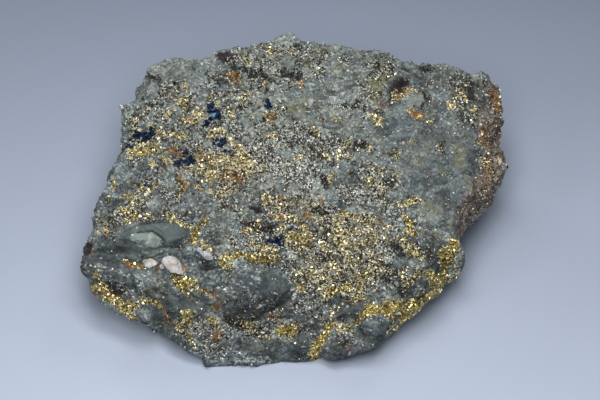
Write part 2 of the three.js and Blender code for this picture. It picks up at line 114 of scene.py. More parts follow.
# Strokes lay out what lies where on the specimen, seen from above. Each is a width, a
# strength, and the points that it runs through; one point alone is a round spot.
#
# Grains of chalcopyrite.
GOLD = [
    # Left of the back.
    (0.7, 1, (-32.8, 29), (-31.6, 27.6)), (1.1, 1, (-33.8, 24.4), (-32, 23.6)),
    (0.7, 0.8, (-33, 22), (-31.8, 21.6)), (0.6, 0.7, (-38.8, 27.4)), (0.5, 0.6, (-37.4, 28.3)),
    (0.5, 0.6, (-37.2, 26.4)), (0.5, 0.8, (-44, 21.4), (-43.2, 21.2)),
    (0.9, 0.7, (-46.8, 19.2), (-47.4, 17.4)), (0.7, 0.9, (-36.2, 20), (-38, 18.6)),
    (0.5, 0.6, (-35.2, 21.8)), (0.8, 1, (-29.8, 19.4), (-28, 20.4), (-27, 18.6)),
    (0.9, 0.9, (-32.2, 17.6), (-30, 16.8), (-28, 17.4)), (0.6, 0.9, (-24.6, 24.8)),
    (0.5, 0.8, (-23.4, 22.8)), (0.6, 0.9, (-42.2, 17), (-41.2, 16.2)), (0.6, 0.8, (-45.6, 15.8)),
    (0.8, 0.9, (-39.6, 14.4), (-39, 12.8), (-38.6, 11.6)), (0.9, 0.9, (-19.6, 21), (-18.6, 19.4)),
    (0.6, 0.9, (-16.6, 23.4), (-14.6, 21.8)), (0.6, 0.8, (-15.4, 24.4), (-14, 25.6)),
    (0.6, 0.7, (-12.8, 24.6)), (0.6, 0.8, (-11.6, 22.8)), (0.5, 0.6, (-11, 26)), (0.6, 0.8, (-7.5, 26.4)),
    (0.7, 0.7, (-9.5, 29)), (0.4, 0.6, (-4.4, 26.2), (-3.6, 25)), (0.5, 0.6, (-14.8, 31)),
    (0.8, 0.6, (-14.6, 37.4), (-13.6, 36)), (0.8, 1, (-13.4, 17.6)),
    (1.2, 0.9, (-8.4, 18.2), (-6.8, 17.2)), (0.5, 0.6, (-8.6, 14.4)),
    # Round the blue patches on the left.
    (1.7, 1, (-47, 8.6), (-44, 8.2), (-41.6, 7.2), (-40, 7.4)), (1, 0.8, (-45, 11), (-42, 10.6)),
    (0.6, 0.8, (-38.4, 4.8), (-36, 3.8)), (0.8, 0.8, (-41.4, 3.2), (-40, 2.8)),
    (0.7, 1, (-33.4, 11.2), (-31.6, 12)), (0.6, 0.7, (-36.6, 12.2), (-34.4, 11.4)), (0.6, 0.6, (-35, 8)),
    (1.2, 1, (-27.6, 7.4), (-27.2, 5)), (1, 1, (-24.6, 13.4), (-22.8, 14), (-20.8, 13.4)),
    (0.9, 0.9, (-19.4, 12), (-18.4, 10), (-16.4, 9)),
    (1.4, 1, (-24.6, 5), (-22, 4.4), (-19.6, 4), (-18, 2.4)),
    (1.4, 0.9, (-26.6, 0.6), (-24.6, 0.4), (-24, -1.6)), (0.8, 0.8, (-33.2, -0.8), (-31.6, -2.8)),
    (0.6, 0.9, (-28.4, -4.2), (-27, -4.6)), (0.6, 0.8, (-26.2, -2.8)),
    (0.6, 1, (-34, -4.6), (-32.8, -4.8)), (1.3, 1, (-16.2, 6.6), (-15.2, 5), (-14.8, 3.6)),
    (1.1, 1, (-15.6, 1.8), (-14.6, 0.8), (-13.2, 2)), (0.4, 0.9, (-12.4, 5), (-12.6, 2)),
    (0.6, 0.8, (-13, -2)), (0.6, 0.8, (-9, 3)), (0.5, 0.8, (-10.4, 6.8)),
    (0.8, 0.8, (-8.2, 11), (-6.2, 10.8)), (0.5, 0.6, (-11.4, 12.6)), (0.5, 0.6, (-3.6, 9)),
    (0.8, 1, (0, 6), (0.3, 5.4)), (0.6, 0.7, (-1.8, 3)), (0.4, 0.8, (1.6, 8.6)),
    (0.9, 1, (4.6, 13.4), (5.4, 12.4)),
    # Left edge, above the pale nodule.
    (0.7, 0.9, (-45, -2.8), (-43.6, -2.2)), (0.8, 1, (-41.4, -3.6), (-39, -2.8)),
    (0.5, 0.7, (-47.3, -0.6)), (0.7, 0.8, (-52, 0), (-51.6, -2.4)),
    (0.8, 1, (-48.4, -5.2), (-46.8, -4.6)), (0.9, 1, (-45.2, -5.6), (-46.2, -7.8)),
    (0.6, 1, (-50.4, -9), (-49.2, -8.8)), (0.5, 0.7, (-53, -4.6), (-52.6, -6.6)),
    (0.8, 1, (-48.6, -10), (-46, -10.8), (-45, -12)), (0.7, 0.9, (-48, -12.4), (-45, -13)),
    (0.6, 0.8, (-42.4, -12), (-40.4, -11.6)), (0.5, 0.9, (-55.8, -13.4), (-55.4, -14.8)),
    (0.7, 1, (-53, -12.6), (-53.6, -14.6)),
    # The V right of the dark plate, and the band above the big block.
    (0.5, 0.8, (-36.6, -11.4), (-34.6, -13.2), (-32, -14.8), (-29.6, -17), (-28.8, -19.4)),
    (0.7, 1, (-25, -14.6), (-27, -16), (-28.6, -18)),
    (0.7, 1, (-28.4, -19.8), (-26, -20.8), (-23.6, -22.8)),
    (0.9, 1, (-20.8, -25.2), (-17.6, -24.1), (-15, -24.6), (-12, -24.4), (-9, -24.8)),
    (0.7, 0.9, (-20, -26.8), (-18, -27)), (1.2, 1, (-9.4, -22.6), (-8.6, -24), (-5.6, -24.8)),
    (0.7, 1, (-22.4, -6.6), (-20.8, -7.4)), (0.7, 0.9, (-18.6, -6.8)),
    (0.6, 0.6, (-12.6, -21), (-10.6, -22.4)),
    # The middle of the front.
    (0.6, 0.8, (-6.4, -5)), (1, 0.9, (-9.2, -7), (-8.6, -9)), (0.9, 0.7, (-7, -12.4), (-5.6, -14.6)),
    (1.1, 1, (-3, -13.2), (-1, -13.6), (-1, -14.8)), (0.7, 0.8, (-11, -15), (-11, -17)),
    (0.8, 1, (-14.6, -18.4), (-13, -18.8)), (0.6, 1, (-4.2, -17.2), (-3.4, -18)), (0.7, 0.7, (-6, -18.6)),
    (0.8, 1, (1.4, -17.2), (2.6, -16)), (1.3, 1, (-2, -20), (0.6, -19.8), (3.4, -19.2)),
    (1, 0.9, (-2.6, -21.4), (0.6, -21.4), (3, -21)), (0.5, 0.8, (3.8, -12)), (0.7, 0.9, (5.4, -14)),
    (0.6, 0.9, (6.8, -12.6)), (1, 1, (12.4, -11.6), (14.4, -12.4)),
    (1.1, 0.9, (10.8, -14.4), (12, -16.2), (12.8, -14)),
    (1.1, 0.8, (16.4, -13), (18.6, -13.4), (20, -14)), (1, 1, (9.6, -17.4), (10.4, -18.8)),
    (1.2, 0.9, (11.6, -17.6), (13.4, -18.8), (11, -20.8), (13.4, -21.4)),
    (0.9, 0.9, (15.8, -17), (18.6, -18)), (0.9, 1, (15.6, -21.4), (17, -21), (18.8, -20.4)),
    (0.9, 0.8, (20, -16), (21.6, -19)), (1, 0.8, (6, -21), (8.6, -22.8)), (0.8, 0.8, (14.2, -24.4)),
    (0.9, 0.8, (16.4, -26.2)), (0.9, 0.9, (9.4, -26), (10.2, -27.4)), (0.8, 0.6, (3, -25.4), (5, -27.4)),
    (1, 1, (0.2, -27.8), (2, -28.4)), (0.8, 1, (3.8, -27.6), (4.6, -29.2)),
    (0.7, 1, (5.4, -29.4), (8, -29.6)), (0.9, 1, (0.8, -31.4), (2, -32.2)),
    (0.9, 0.9, (8.8, -33.6), (11.6, -33), (14, -31.6)), (0.7, 0.6, (6.4, -32), (8, -34)),
    (1.3, 0.9, (19.6, -28.6), (17, -30.4), (17.4, -32.6)), (0.9, 0.9, (15.6, -34.4), (17.4, -34.2)),
    (0.8, 0.8, (21.4, -25.8)), (0.8, 0.9, (23, -27.8)), (0.7, 0.7, (26.2, -28)),
    # The column and the rim on the right of the front.
    (0.8, 0.9, (29, -9.6), (31.6, -8.2), (34, -7.4)), (0.9, 1, (29.8, -12.2), (30.4, -13.2)),
    (0.9, 1, (31.8, -14), (32.4, -14.8)), (0.8, 1, (30.2, -16.6)), (1, 1, (31.6, -17), (32.4, -17.8)),
    (1, 0.9, (28.4, -18.6), (30, -20)), (1.3, 0.8, (30.4, -20.6), (31, -22.2), (33, -22)),
    (0.7, 0.9, (34.8, -23.6)), (0.9, 0.7, (25.6, -15.8)), (0.7, 0.8, (24.2, -18.6)),
    (1.2, 1, (44.6, -17.8), (43.6, -19), (42.6, -21)),
    (1.2, 1, (40.6, -22.8), (41, -24.8), (42.4, -24.6)), (0.8, 1, (36.2, -26.8), (39, -27), (41, -26)),
    (0.5, 1, (42, -25.4), (44.8, -22.6)), (0.6, 0.9, (38, -29), (41, -28)), (0.6, 0.8, (33.4, -27)),
    (0.5, 0.9, (32, -29), (34.6, -27.8)), (0.9, 1, (29.2, -28.4), (29.8, -30.2)),
    (0.7, 1, (37.4, -30), (34.8, -32.8), (32.4, -34), (28.6, -36.6)),
    (1.2, 1, (25.4, -36.8), (28.4, -35)), (0.8, 1, (28, -38.6), (27.6, -40)),
    (2.3, 1, (20.8, -37.6), (24, -37.8)), (0.7, 1, (16.6, -39.8), (18.8, -39)), (0.5, 0.8, (29.6, -26.4)),
    (1, 1, (9.4, -39.8), (7.4, -41), (6.6, -42.4), (4.4, -44)), (0.5, 0.9, (10.4, -39.8), (12.4, -40.6)),
    (0.6, 1, (12.8, -40.8), (15.2, -41.8)), (0.5, 0.8, (9.2, -37.2), (11, -37.4)),
    # The ledges on the left of the front.
    (0.5, 1, (-48.4, -22), (-46.6, -24.4), (-44.6, -26.6), (-43, -26.4), (-42, -25.4)),
    (1.1, 0.8, (-56, -28.4), (-53, -31), (-49, -33.4)), (0.9, 1, (-48.6, -34.4), (-44, -36)),
    (0.9, 0.9, (-42.6, -34.4), (-38, -34.8)), (0.7, 0.8, (-38.4, -33)),
    (1.5, 1, (-33.2, -28.6), (-31.8, -30), (-29.4, -30)), (1, 1, (-28.4, -29), (-28.6, -31)),
    (0.4, 0.9, (-28, -31.4), (-24, -33.4)), (0.8, 1, (-31.4, -36.4), (-29.4, -36.8)),
    (0.9, 1, (-24.6, -36.6), (-22.8, -37.8)),
    (0.5, 0.9, (-34, -37), (-31, -39), (-29.6, -41), (-28, -43)),
    (0.4, 1, (-15.4, -37.6), (-12.4, -37.4), (-11.2, -38)),
    (1.1, 1, (-4.8, -38.8), (-2.6, -38.6), (-1, -38.4)), (0.4, 0.9, (-8.4, -40.4), (-7.4, -41.2)),
    # Right of the back.
    (0.6, 0.7, (2.4, 20.6)), (0.7, 0.6, (10.4, 18.6), (11.6, 18)),
    (1.1, 1, (22, 18), (23.2, 17.6), (22.6, 16.6)), (0.7, 0.8, (20.2, 18.6)),
    (0.6, 0.9, (11.8, 8.6), (14, 9.2), (13.6, 10)), (1.1, 0.7, (8, 6.6), (9, 5.8)),
    (0.6, 0.8, (11, 7.6), (12, 6)), (0.5, 0.8, (13.6, 6.4), (15, 6)), (0.6, 0.7, (10.8, 3)),
    (0.8, 0.6, (9.8, -0.8), (9.2, -3.6)), (0.7, 0.9, (20.4, 9.4), (20.6, 8)),
    (0.9, 1, (19.8, -0.8), (21.2, -2.2)), (0.6, 0.9, (22.8, 0.6), (24.4, 1.8)), (0.5, 0.9, (19.2, -4.4)),
    (0.6, 0.8, (22.8, -4.4), (24.6, -3)), (0.7, 0.6, (27, 0.6), (27.4, -1.6)), (0.5, 0.6, (23.6, -6.6)),
    (0.9, 1, (31, 28.2), (33.4, 28.8)), (0.8, 0.9, (28, 25.4), (30.8, 26.4)),
    (0.6, 0.8, (32.4, 21), (33.4, 19.4), (36, 20)), (0.9, 1, (44.4, 25.8), (44.2, 23.2)),
    (0.8, 1, (45.8, 27)), (0.6, 1, (47.2, 29.4), (47.8, 28.4)), (0.9, 0.6, (47.6, 27.6), (48.6, 25)),
    (0.7, 0.8, (47, 23.4)), (0.8, 0.5, (48.8, 31.6)), (0.6, 0.8, (50.4, 22.8), (51.6, 23.6)),
    (0.5, 0.8, (31.4, 10), (33.4, 11)), (0.5, 0.6, (26.4, 6.6), (28.6, 5.4)),
    (0.6, 0.6, (37.4, 17.2), (38.6, 18)), (0.8, 0.5, (40.4, 10.6), (41, 8)),
    (0.6, 0.8, (51.4, 13), (51.2, 11.8)), (0.8, 1, (53.4, 8.4), (55, 7.4)),
    (0.8, 0.35, (54, 6), (54.6, 2)), (0.7, 0.4, (53.6, 16.6), (54.4, 13)),
    # Thinly sown.
    (4, 0.3, (4, -16), (12, -16), (22, -17)), (4.5, 0.36, (4, -27), (13, -28), (20, -26)),
    (4, 0.48, (-27, 3), (-20, 2), (-14, 2)), (2.4, 0.34, (-47, -8), (-43, -6)),
    (2.4, 0.3, (-24, -6), (-19, -5)), (2.4, 0.34, (-7, -9.5), (4, -9.5)),
    # Spots along the back edge.
    (0.7, 0.6, (-2.2, 40)), (0.7, 0.6, (-8.4, 41), (-7.6, 38)), (0.6, 0.5, (5.4, 40), (7.6, 39.4)),
    (0.7, 0.7, (1.2, 28)),
]

# Where chalcopyrite fills a vein with little else in it.
SOLID = [
    (1.6, 1, (20.8, -37.6), (24.6, -37.8)), (0.82, 0.9, (25.4, -36.8), (28.4, -35)),
    (0.68, 0.9, (28, -38.6), (27.6, -40)), (0.88, 0.9, (44.6, -17.8), (43.6, -19), (42, -22)),
    (0.88, 0.9, (40.6, -22.8), (41, -25)), (0.75, 0.9, (36.2, -26.8), (41, -26)),
    (0.75, 0.9, (38.4, -29.4), (34.8, -32.8), (28.6, -36.6)), (0.68, 0.9, (16.6, -39.8), (18.8, -39)),
    (0.82, 0.9, (9.4, -39.8), (7.4, -41), (4.4, -44)),
    (0.68, 0.8, (29.8, -12.2), (31.6, -15), (32.4, -17.8)),
    (0.95, 0.9, (-33.2, -28.6), (-31.8, -30), (-29.4, -30)),
    (0.68, 0.9, (-20.8, -25.2), (-15, -24.6), (-9, -24.8)),
    (0.82, 0.7, (-56, -28.4), (-53, -31), (-49, -33.4)), (0.61, 0.8, (-48.6, -34.4), (-44, -36)),
    (0.54, 0.8, (-42.6, -34.4), (-38, -34.8)), (1.1, 0.8, (-47, 8.6), (-44, 8.2), (-41, 7.4)),
    (0.54, 0.9, (-25, -14.6), (-28.6, -18), (-28.8, -19.4)), (0.54, 0.8, (-31.4, -36.4), (-29.4, -36.8)),
    (0.61, 0.8, (-24.6, -36.6), (-22.8, -37.8)), (0.75, 0.8, (-4.8, -38.8), (-1, -38.4)),
    (0.54, 0.8, (-48.6, -10), (-46, -10.8), (-45, -12)), (0.68, 0.7, (-1, -20), (3.4, -19.2)),
    (0.68, 0.7, (8.8, -33.6), (14, -31.6)),
]

# Chalcopyrite that has tarnished blue.
TARNISH = [
    (0.8, 1, (-24.4, 22.6), (-25, 21.2)), (0.9, 1, (-24.6, 21.2), (-23, 21)),
    (0.8, 1, (-23.6, 20.6), (-23.2, 18.8)), (0.8, 1, (-24.8, 17.6), (-26, 16)),
    (1, 1, (-46, 14.4), (-44, 14), (-43.6, 13)), (0.8, 1, (-42.2, 14.6), (-41.6, 12.6)),
    (0.9, 0.9, (-48.4, 13.4), (-47.8, 10.8)), (1.1, 1, (-22.8, 10.8), (-21.2, 11.2), (-21.6, 10)),
    (0.8, 1, (-33.2, 3.6), (-31.6, 5), (-30.8, 6.2)), (0.9, 1, (-31, 5), (-29.4, 4.4)),
    (0.5, 0.9, (-31.4, 7.8)), (0.5, 0.9, (-20, 6.8), (-18.6, 6.6)), (0.6, 1, (-8.6, 23.4), (-8.4, 21)),
    (0.5, 0.9, (-9.6, 17.4)), (0.8, 1, (-7.4, -21.2), (-5.4, -21.8), (-4, -21.6)),
    (0.6, 1, (-4.6, -22.4)), (0.5, 0.9, (-8, -1.4)), (0.4, 0.8, (-3.2, -19)), (0.5, 0.7, (14, -14)),
]

# A painted highlight: the one patch of tarnish that shines pale blue, with the shine painted into its
# colour.
PAINTED_HIGHLIGHT = [
    (0.9, 1, (-24, 20.2), (-23.6, 20.1)),
]

# Rusty stains.
RUST = [
    (1.4, 1, (-18.6, 32.6), (-18, 31)), (1.1, 0.9, (-7.4, 18), (-6.8, 17.4)),
    (0.6, 0.9, (0.6, 30.4), (1.2, 28.6)), (0.5, 1, (-40, 10.4)), (0.9, 0.8, (-36, 7.4), (-33, 7)),
    (0.5, 0.8, (-30.2, 8.4)), (1, 0.9, (-27.6, 7), (-27.4, 5)), (2, 1, (-19.6, -0.8), (-16.8, -1.4)),
    (0.8, 0.9, (-17.6, 1.4)), (0.8, 0.9, (-33, -0.6), (-31.4, -3)), (0.7, 0.8, (-31.6, 1)),
    (0.7, 0.6, (-44, 6.6)), (1, 0.8, (-31.4, 16.4), (-30, 17)), (0.6, 0.8, (-28.4, -4)),
    (0.7, 0.8, (-18.2, -4.6)), (0.6, 0.9, (-9.4, 0)), (0.7, 1, (-5, -8), (-4, -10.2)),
    (0.8, 1, (-4.6, -12.8), (-3.8, -14.4)), (0.8, 0.6, (-6.6, -13.4)), (0.9, 1, (1.8, -11.8), (3, -12.6)),
    (0.8, 0.8, (7, -8.6)), (0.6, 0.7, (0.6, -15.4)), (0.7, 0.8, (-14, -18.4)), (0.8, 0.7, (23.4, -14.4)),
    (0.6, 0.7, (32, -16)), (0.7, 0.6, (22.6, 22.8), (24.4, 23)), (0.6, 0.8, (25.6, 21.8)),
    (1, 1, (32.6, 20.6), (33.4, 19.6), (35.6, 19.8)), (0.9, 0.8, (29, 26.4), (32.4, 28)),
    (0.6, 0.6, (44, 24.6)), (0.8, 0.8, (-8.2, 41)), (0.7, 0.8, (-2.2, 40)), (0.8, 0.9, (18, 41)),
    (0.6, 0.5, (6, 39.6)), (0.9, 0.8, (57.4, 30.6), (58.4, 26)), (0.9, 0.6, (54.4, 6), (53.6, 1)),
    (0.9, 0.7, (54, 18), (53.6, 13)), (0.7, 1, (-48, -23), (-45, -26.4), (-43.4, -25.8)),
    (1.1, 0.7, (-55.4, -29.4), (-50, -32.4)), (1, 0.4, (-57.6, -19.4)),
    (1.1, 0.8, (-22.6, -41.2), (-21.4, -40.8)), (0.3, 1, (-8.2, -36.2), (-5, -36.4)),
    (0.4, 0.7, (-27, -31.8), (-21, -34.4)), (0.4, 0.8, (14, -44.6)), (0.5, 0.7, (-36, -37), (-38, -33.4)),
    (0.4, 0.7, (-30.6, -26), (-32, -25.4)), (0.6, 0.7, (-39.4, -24.6), (-38.8, -26)),
]

# Black and dark brown grains and stains.
SOOT = [
    (0.7, 0.8, (-43, 32.4), (-40.6, 31.6)), (0.5, 0.9, (-45, 26.4)),
    (0.5, 0.8, (-23.6, 30.4), (-22.4, 28.4)), (0.4, 0.8, (-26, 33)),
    (0.6, 1, (-18.4, 34.8), (-15.4, 34.4), (-13.4, 33.4)), (0.9, 1, (-13, 33), (-10.4, 32.6), (-8.6, 31)),
    (0.5, 0.8, (-7, 30), (-5, 29)), (0.8, 1, (-4.8, 32.4), (-1.6, 32), (0.2, 32.6), (0.8, 31.2)),
    (0.5, 0.8, (-3.8, 34)), (0.4, 0.8, (-11.8, 37), (-10.6, 36)), (0.7, 0.8, (0.8, 36.8)),
    (0.6, 0.7, (6.4, 36)), (0.5, 0.7, (7, 38.6)), (0.6, 0.6, (1, 42.4), (-1, 41)),
    (0.7, 0.9, (-13.4, 21.6)), (0.6, 0.9, (-11, 20.8)), (0.5, 0.8, (-11.4, 28)), (0.5, 0.8, (-8.4, 26.4)),
    (0.5, 0.8, (-38.6, 22.4)), (0.6, 1, (3.6, 13.4), (4, 11.8)), (0.3, 1, (0, 11.4)),
    (0.9, 1, (17, 10.2), (19, 9.4)), (0.5, 0.7, (15.6, 9.6)), (0.4, 0.9, (6.2, 5.2), (7.2, 6.8), (8, 8)),
    (0.5, 0.9, (10, 2.4)), (0.5, 0.8, (16, 3.4)), (0.6, 1, (7, -1.2), (7.6, -3), (8, -4.6)),
    (0.9, 0.9, (25.6, -2), (27, -3.2)), (0.7, 0.7, (36.6, 28.6), (37.4, 26.8)),
    (0.4, 0.9, (36.4, 25), (36, 22.6)), (0.4, 1, (30.8, 35.6), (32.4, 35.2)), (0.5, 0.6, (23, 38)),
    (1.1, 0.7, (50, 31), (50.6, 27)), (0.9, 0.6, (40.2, 11.4), (41, 8.6)), (1, 0.5, (24, 34), (23, 37)),
    (0.7, 0.6, (36, 36.6), (39, 36.8)), (0.7, 1, (-13, -10.4), (-10.4, -11.2)),
    (1.4, 1, (-12, -17.2), (-9.6, -17.4), (-7, -18)), (0.8, 0.9, (-14, -17.2)),
    (0.6, 1, (-3, -15.4), (-2, -16.8)), (0.9, 1, (5, -10.6), (6.4, -11.4), (9.4, -11.6)),
    (0.5, 0.9, (6.8, -15)), (0.4, 0.8, (10.4, -20.2), (11.4, -20.2)), (1, 0.8, (6, -24.4), (9, -24.6)),
    (0.5, 1, (18.6, -29.6)), (1, 0.9, (27, -21), (28.8, -23.4)), (1.1, 0.9, (29, -31.6), (30.4, -31.4)),
    (0.8, 0.7, (32.4, -31.4)), (0.8, 0.7, (-20, -37), (-16, -38)),
    (0.6, 0.8, (-52.6, -29.6), (-48, -31.6)), (1.5, 0.8, (-58.6, -18.6)),
    (1, 0.7, (8.4, -15), (7.6, -20)),
]

# Plum coloured bornite.
PLUM = [
    (1.5, 1, (-22.4, 38), (-19, 37.4)), (1.5, 1, (27.6, 26.6), (29.6, 28.4), (31, 31)),
    (0.7, 0.8, (-9.4, 32)),
]

# Yellow-green and tan films on the schist.
OLIVE = [
    (1.3, 0.8, (-2, 21), (1, 21.2)), (0.7, 0.8, (2.4, 23.6), (2.8, 22.4)),
    (0.8, 0.7, (3.4, 38.4), (3, 35.6)), (0.7, 0.7, (5.6, 33.4)),
    (2.6, 1, (24.8, 34), (23.4, 30), (21.6, 26)), (1.6, 0.6, (36.5, 8.6)), (1.8, 0.6, (46, 10), (46, 5)),
    (1.2, 0.5, (35, 3.8)), (1, 0.6, (41, 2.6)), (1.1, 0.7, (48, -3)), (1.3, 0.6, (36.4, -8.8)),
    (1.2, 0.8, (38.4, -11)), (1.1, 0.8, (39.2, -17.6)), (0.5, 1, (43, -14.6)), (0.6, 0.7, (38.6, -20.2)),
    (0.7, 0.6, (16.4, 19)), (1.5, 0.5, (11, 34), (13, 35)), (1.4, 0.4, (-14, 31), (-18, 27)),
]

# White patches and flecks.
SNOW = [
    (0.6, 0.9, (-54.8, -26), (-51.6, -27.2)), (0.5, 0.8, (-49.6, -27.6), (-47, -28.8)),
    (0.8, 0.9, (-44.2, -29), (-43, -31)), (0.5, 0.8, (-42.8, -28.6)),
    (0.3, 0.7, (-59, -24), (-55, -27.6), (-50, -30.2), (-45, -31.6)),
    (0.8, 0.6, (-18.6, -27.2), (-15.4, -28)), (0.4, 1, (-14, -28.4)),
    (0.4, 1, (-11, -27.4), (-10.6, -28.2)), (0.35, 1, (-12.4, -30), (-12.2, -30.8)),
    (0.4, 1, (-10.6, -30.4), (-10.4, -31.4)), (0.3, 0.8, (-13.2, -31.4), (-11.4, -32.2)),
    (1, 0.6, (-19.6, -32.2), (-17.4, -33)),
    (0.7, 0.8, (-28, -43.6), (-20, -44.6), (-12, -45), (-4, -45.4)),
    (0.6, 0.9, (-30.6, -41.6), (-27, -43), (-24, -43.6)),
    (0.5, 0.8, (-24, -46.8), (-14, -47), (-2, -46.8)), (0.8, 0.7, (-17, -26), (-13, -26.8)),
    (0.4, 0.8, (-19, -29.4), (-15, -31.6), (-12, -34.4)), (0.5, 0.7, (20, -42), (24, -40.6)),
    (0.6, 0.7, (-3.4, -27.6), (-1, -33)), (0.8, 0.9, (-2.4, -23.6), (-1.2, -24.4)),
    (0.6, 0.9, (12, -23.6), (13.4, -23)), (0.7, 0.7, (-7, -19.6)), (0.9, 0.7, (-24, -13), (-22.4, -13.2)),
    (0.5, 0.8, (34, -12.4), (34.8, -14)), (0.4, 0.9, (37, -17.4)), (0.5, 0.7, (26.2, -19.6)),
    (0.4, 0.9, (14.6, 19.4)), (0.4, 0.9, (-3.2, 15.3)), (0.4, 0.9, (-0.8, 13.4)),
    (0.6, 0.9, (2.2, 12.4), (2.4, 11.4)), (0.4, 1, (5, 10.6)), (0.8, 0.9, (-12.2, 8.6), (-10.6, 9.2)),
    (0.4, 0.8, (-15.6, 8), (-14.4, 8.6)), (0.4, 1, (-18.8, 20)), (0.4, 0.9, (-5.4, 23.2)),
    (0.3, 0.9, (15.4, 33.4)), (0.3, 0.9, (1.8, 31.4)), (0.4, 0.9, (-9.6, -2.6)), (0.4, 0.9, (6.6, -4.4)),
    (0.4, 0.9, (16.6, -5.6)), (0.4, 0.8, (18.4, -8.6)), (0.4, 0.8, (-1.4, -5)),
    (0.4, 0.8, (10.4, 1.4), (12, 0.8)), (0.4, 0.8, (35.8, 24.8)), (0.4, 0.7, (42, 18.2), (43.6, 18.8)),
    (0.4, 0.6, (-46, 4.8)), (0.4, 0.6, (-27, -45), (-20, -46)), (0.4, 0.6, (-22, -43.4), (-12, -44.6)),
    (0.4, 0.5, (-8, -45.6), (4, -46.6)), (0.9, 0.5, (14, -42.6), (19, -43.6)),
    (0.6, 0.6, (-24, -45), (-16, -45.6)),
]

# Broad regions of the schist. The speckled ones are full of gold, black and white specks.
SPECKLED = [
    (7, 1, (-44, 18), (-34, 22), (-20, 20)), (4, 0.7, (-40, 27), (-34, 27)),
    (6, 1, (-44, 10), (-36, 10), (-28, 8)), (6, 1, (-24, 14), (-16, 6), (-8, 10)),
    (5, 0.8, (-44, -6), (-50, -12)), (5, 0.7, (-36, 2), (-34, -6), (-28, -8)),
    (6, 1, (-24, 0), (-14, 2), (-8, 2)), (5, 0.8, (-24, -6), (-14, -7), (-6, -4)),
    (5, 0.9, (6, 8), (14, 6)), (4, 0.7, (10, 2), (6, -6)), (5, 1, (18, -1), (26, -2)),
    (5, 0.8, (14, -6), (24, -8)), (7, 1, (-6, -12), (6, -14), (16, -16), (24, -18)),
    (6, 1, (-14, -20), (0, -22), (10, -24)), (7, 1, (4, -28), (14, -29), (26, -27)),
    (5, 1, (24, -20), (32, -22)), (4, 0.8, (30, -12), (31, -18)), (5, 0.9, (-20, 30), (-12, 26)),
    (4, 0.7, (-16, 34), (-6, 30), (0, 31)), (4.5, 0.75, (-14, 38), (-4, 39), (6, 38)), (3, 0.9, (6, 33)),
    (3, 0.9, (12, 34), (14, 37)), (3.4, 1, (21, 26), (25, 32), (24, 37)), (3, 0.8, (36, 27), (36, 23)),
    (4, 0.9, (47, 32), (50, 26), (50, 22)), (2, 0.7, (40.6, 11), (41, 7)), (2, 0.6, (27, 6.4), (29, 5.6)),
    (3, 0.6, (8, 20), (18, 19)), (3, 0.8, (-6, 20), (-10, 17)), (4, 0.8, (-4, 12), (4, 12)),
    (3, 0.8, (0, -38), (-14, -37)), (4, 0.8, (-32, -38), (-24, -40), (-20, -40)),
    (3, 0.8, (8, -36), (4, -38)), (3, 0.7, (12, -42), (16, -42)), (2.4, 0.7, (-36, -11), (-33, -13)),
]

# A mosaic of white and black.
SALT = [
    (2.6, 1, (-4.6, 1.4), (-1, 0), (3.6, 1), (2, -1.2)), (2.6, 0.8, (-11.4, 8.6), (-8, 6), (-7, 4)),
    (1.6, 0.8, (1.4, 4.4), (4, 4)), (1.8, 0.8, (-2, 13.4), (3, 11.4)),
    (1.5, 0.8, (-4, -27.2), (-1, -28.2)), (1.8, 0.8, (-13.4, -21), (-11, -22)),
    (2, 0.6, (16, -5), (22, -7)), (1.6, 0.7, (22, -22), (25, -25)), (1.6, 0.6, (4, -23), (7, -24.6)),
    (1.5, 0.7, (7.6, -13), (9, -15.4)), (2, 0.5, (0, -34), (5, -34)), (1.2, 0.7, (42.6, 1.6)),
]

# Where the schist is paler, and where it is darker.
PALE = [
    (7, 0.7, (-4, 43), (4, 40), (12, 40)), (8, 0.5, (10, 26), (16, 30), (14, 22)),
    (7, 0.6, (-42, 31), (-30, 36)), (4, 0.6, (-7, 34), (-4, 29)), (5, 0.8, (-38, 20), (-28, 20)),
    (5, 1, (-22, 21), (-8, 20), (6, 20)), (5, 0.8, (-20, 8), (-12, 6), (-6, 2)),
    (4, 0.8, (4, 1), (4, -6)), (4, 0.7, (-2, -20), (12, -23), (18, -12)),
    (4, 0.8, (-4, -22), (12, -25), (20, -30)), (3.4, 0.9, (54, -6), (51, -11)),
    (4, 0.7, (18, 41), (30, 40), (44, 39), (52, 37)), (3, 0.8, (-19, -35), (-22, -33)),
    (3, 0.6, (12, -41), (20, -40)), (3.4, 0.8, (-47, 31), (-41, 33)), (4, 0.8, (20, 10), (20, 4)),
    (3, 0.9, (60, 34), (60, 26), (60, 16)), (4, 0.7, (24, -12), (20, -28)),
    (3, 0.6, (-20, -10), (-18, -22)), (4, 0.7, (-14, 9), (-10, 2)), (5, 0.3, (-20, -12), (-16, -16)),
    (3, 0.9, (10, -22), (14, -22)), (4, 0.9, (34, -9), (38, -11)), (3, 0.8, (34, 26), (38, 27)),
    (3, 0.8, (53, -2), (50, -8)), (2, 0.6, (-40, -9)), (2.4, 0.6, (-24.6, 8)), (2.4, 0.5, (-37, 9)),
    (3, 0.4, (26, 33), (24, 29)),
]
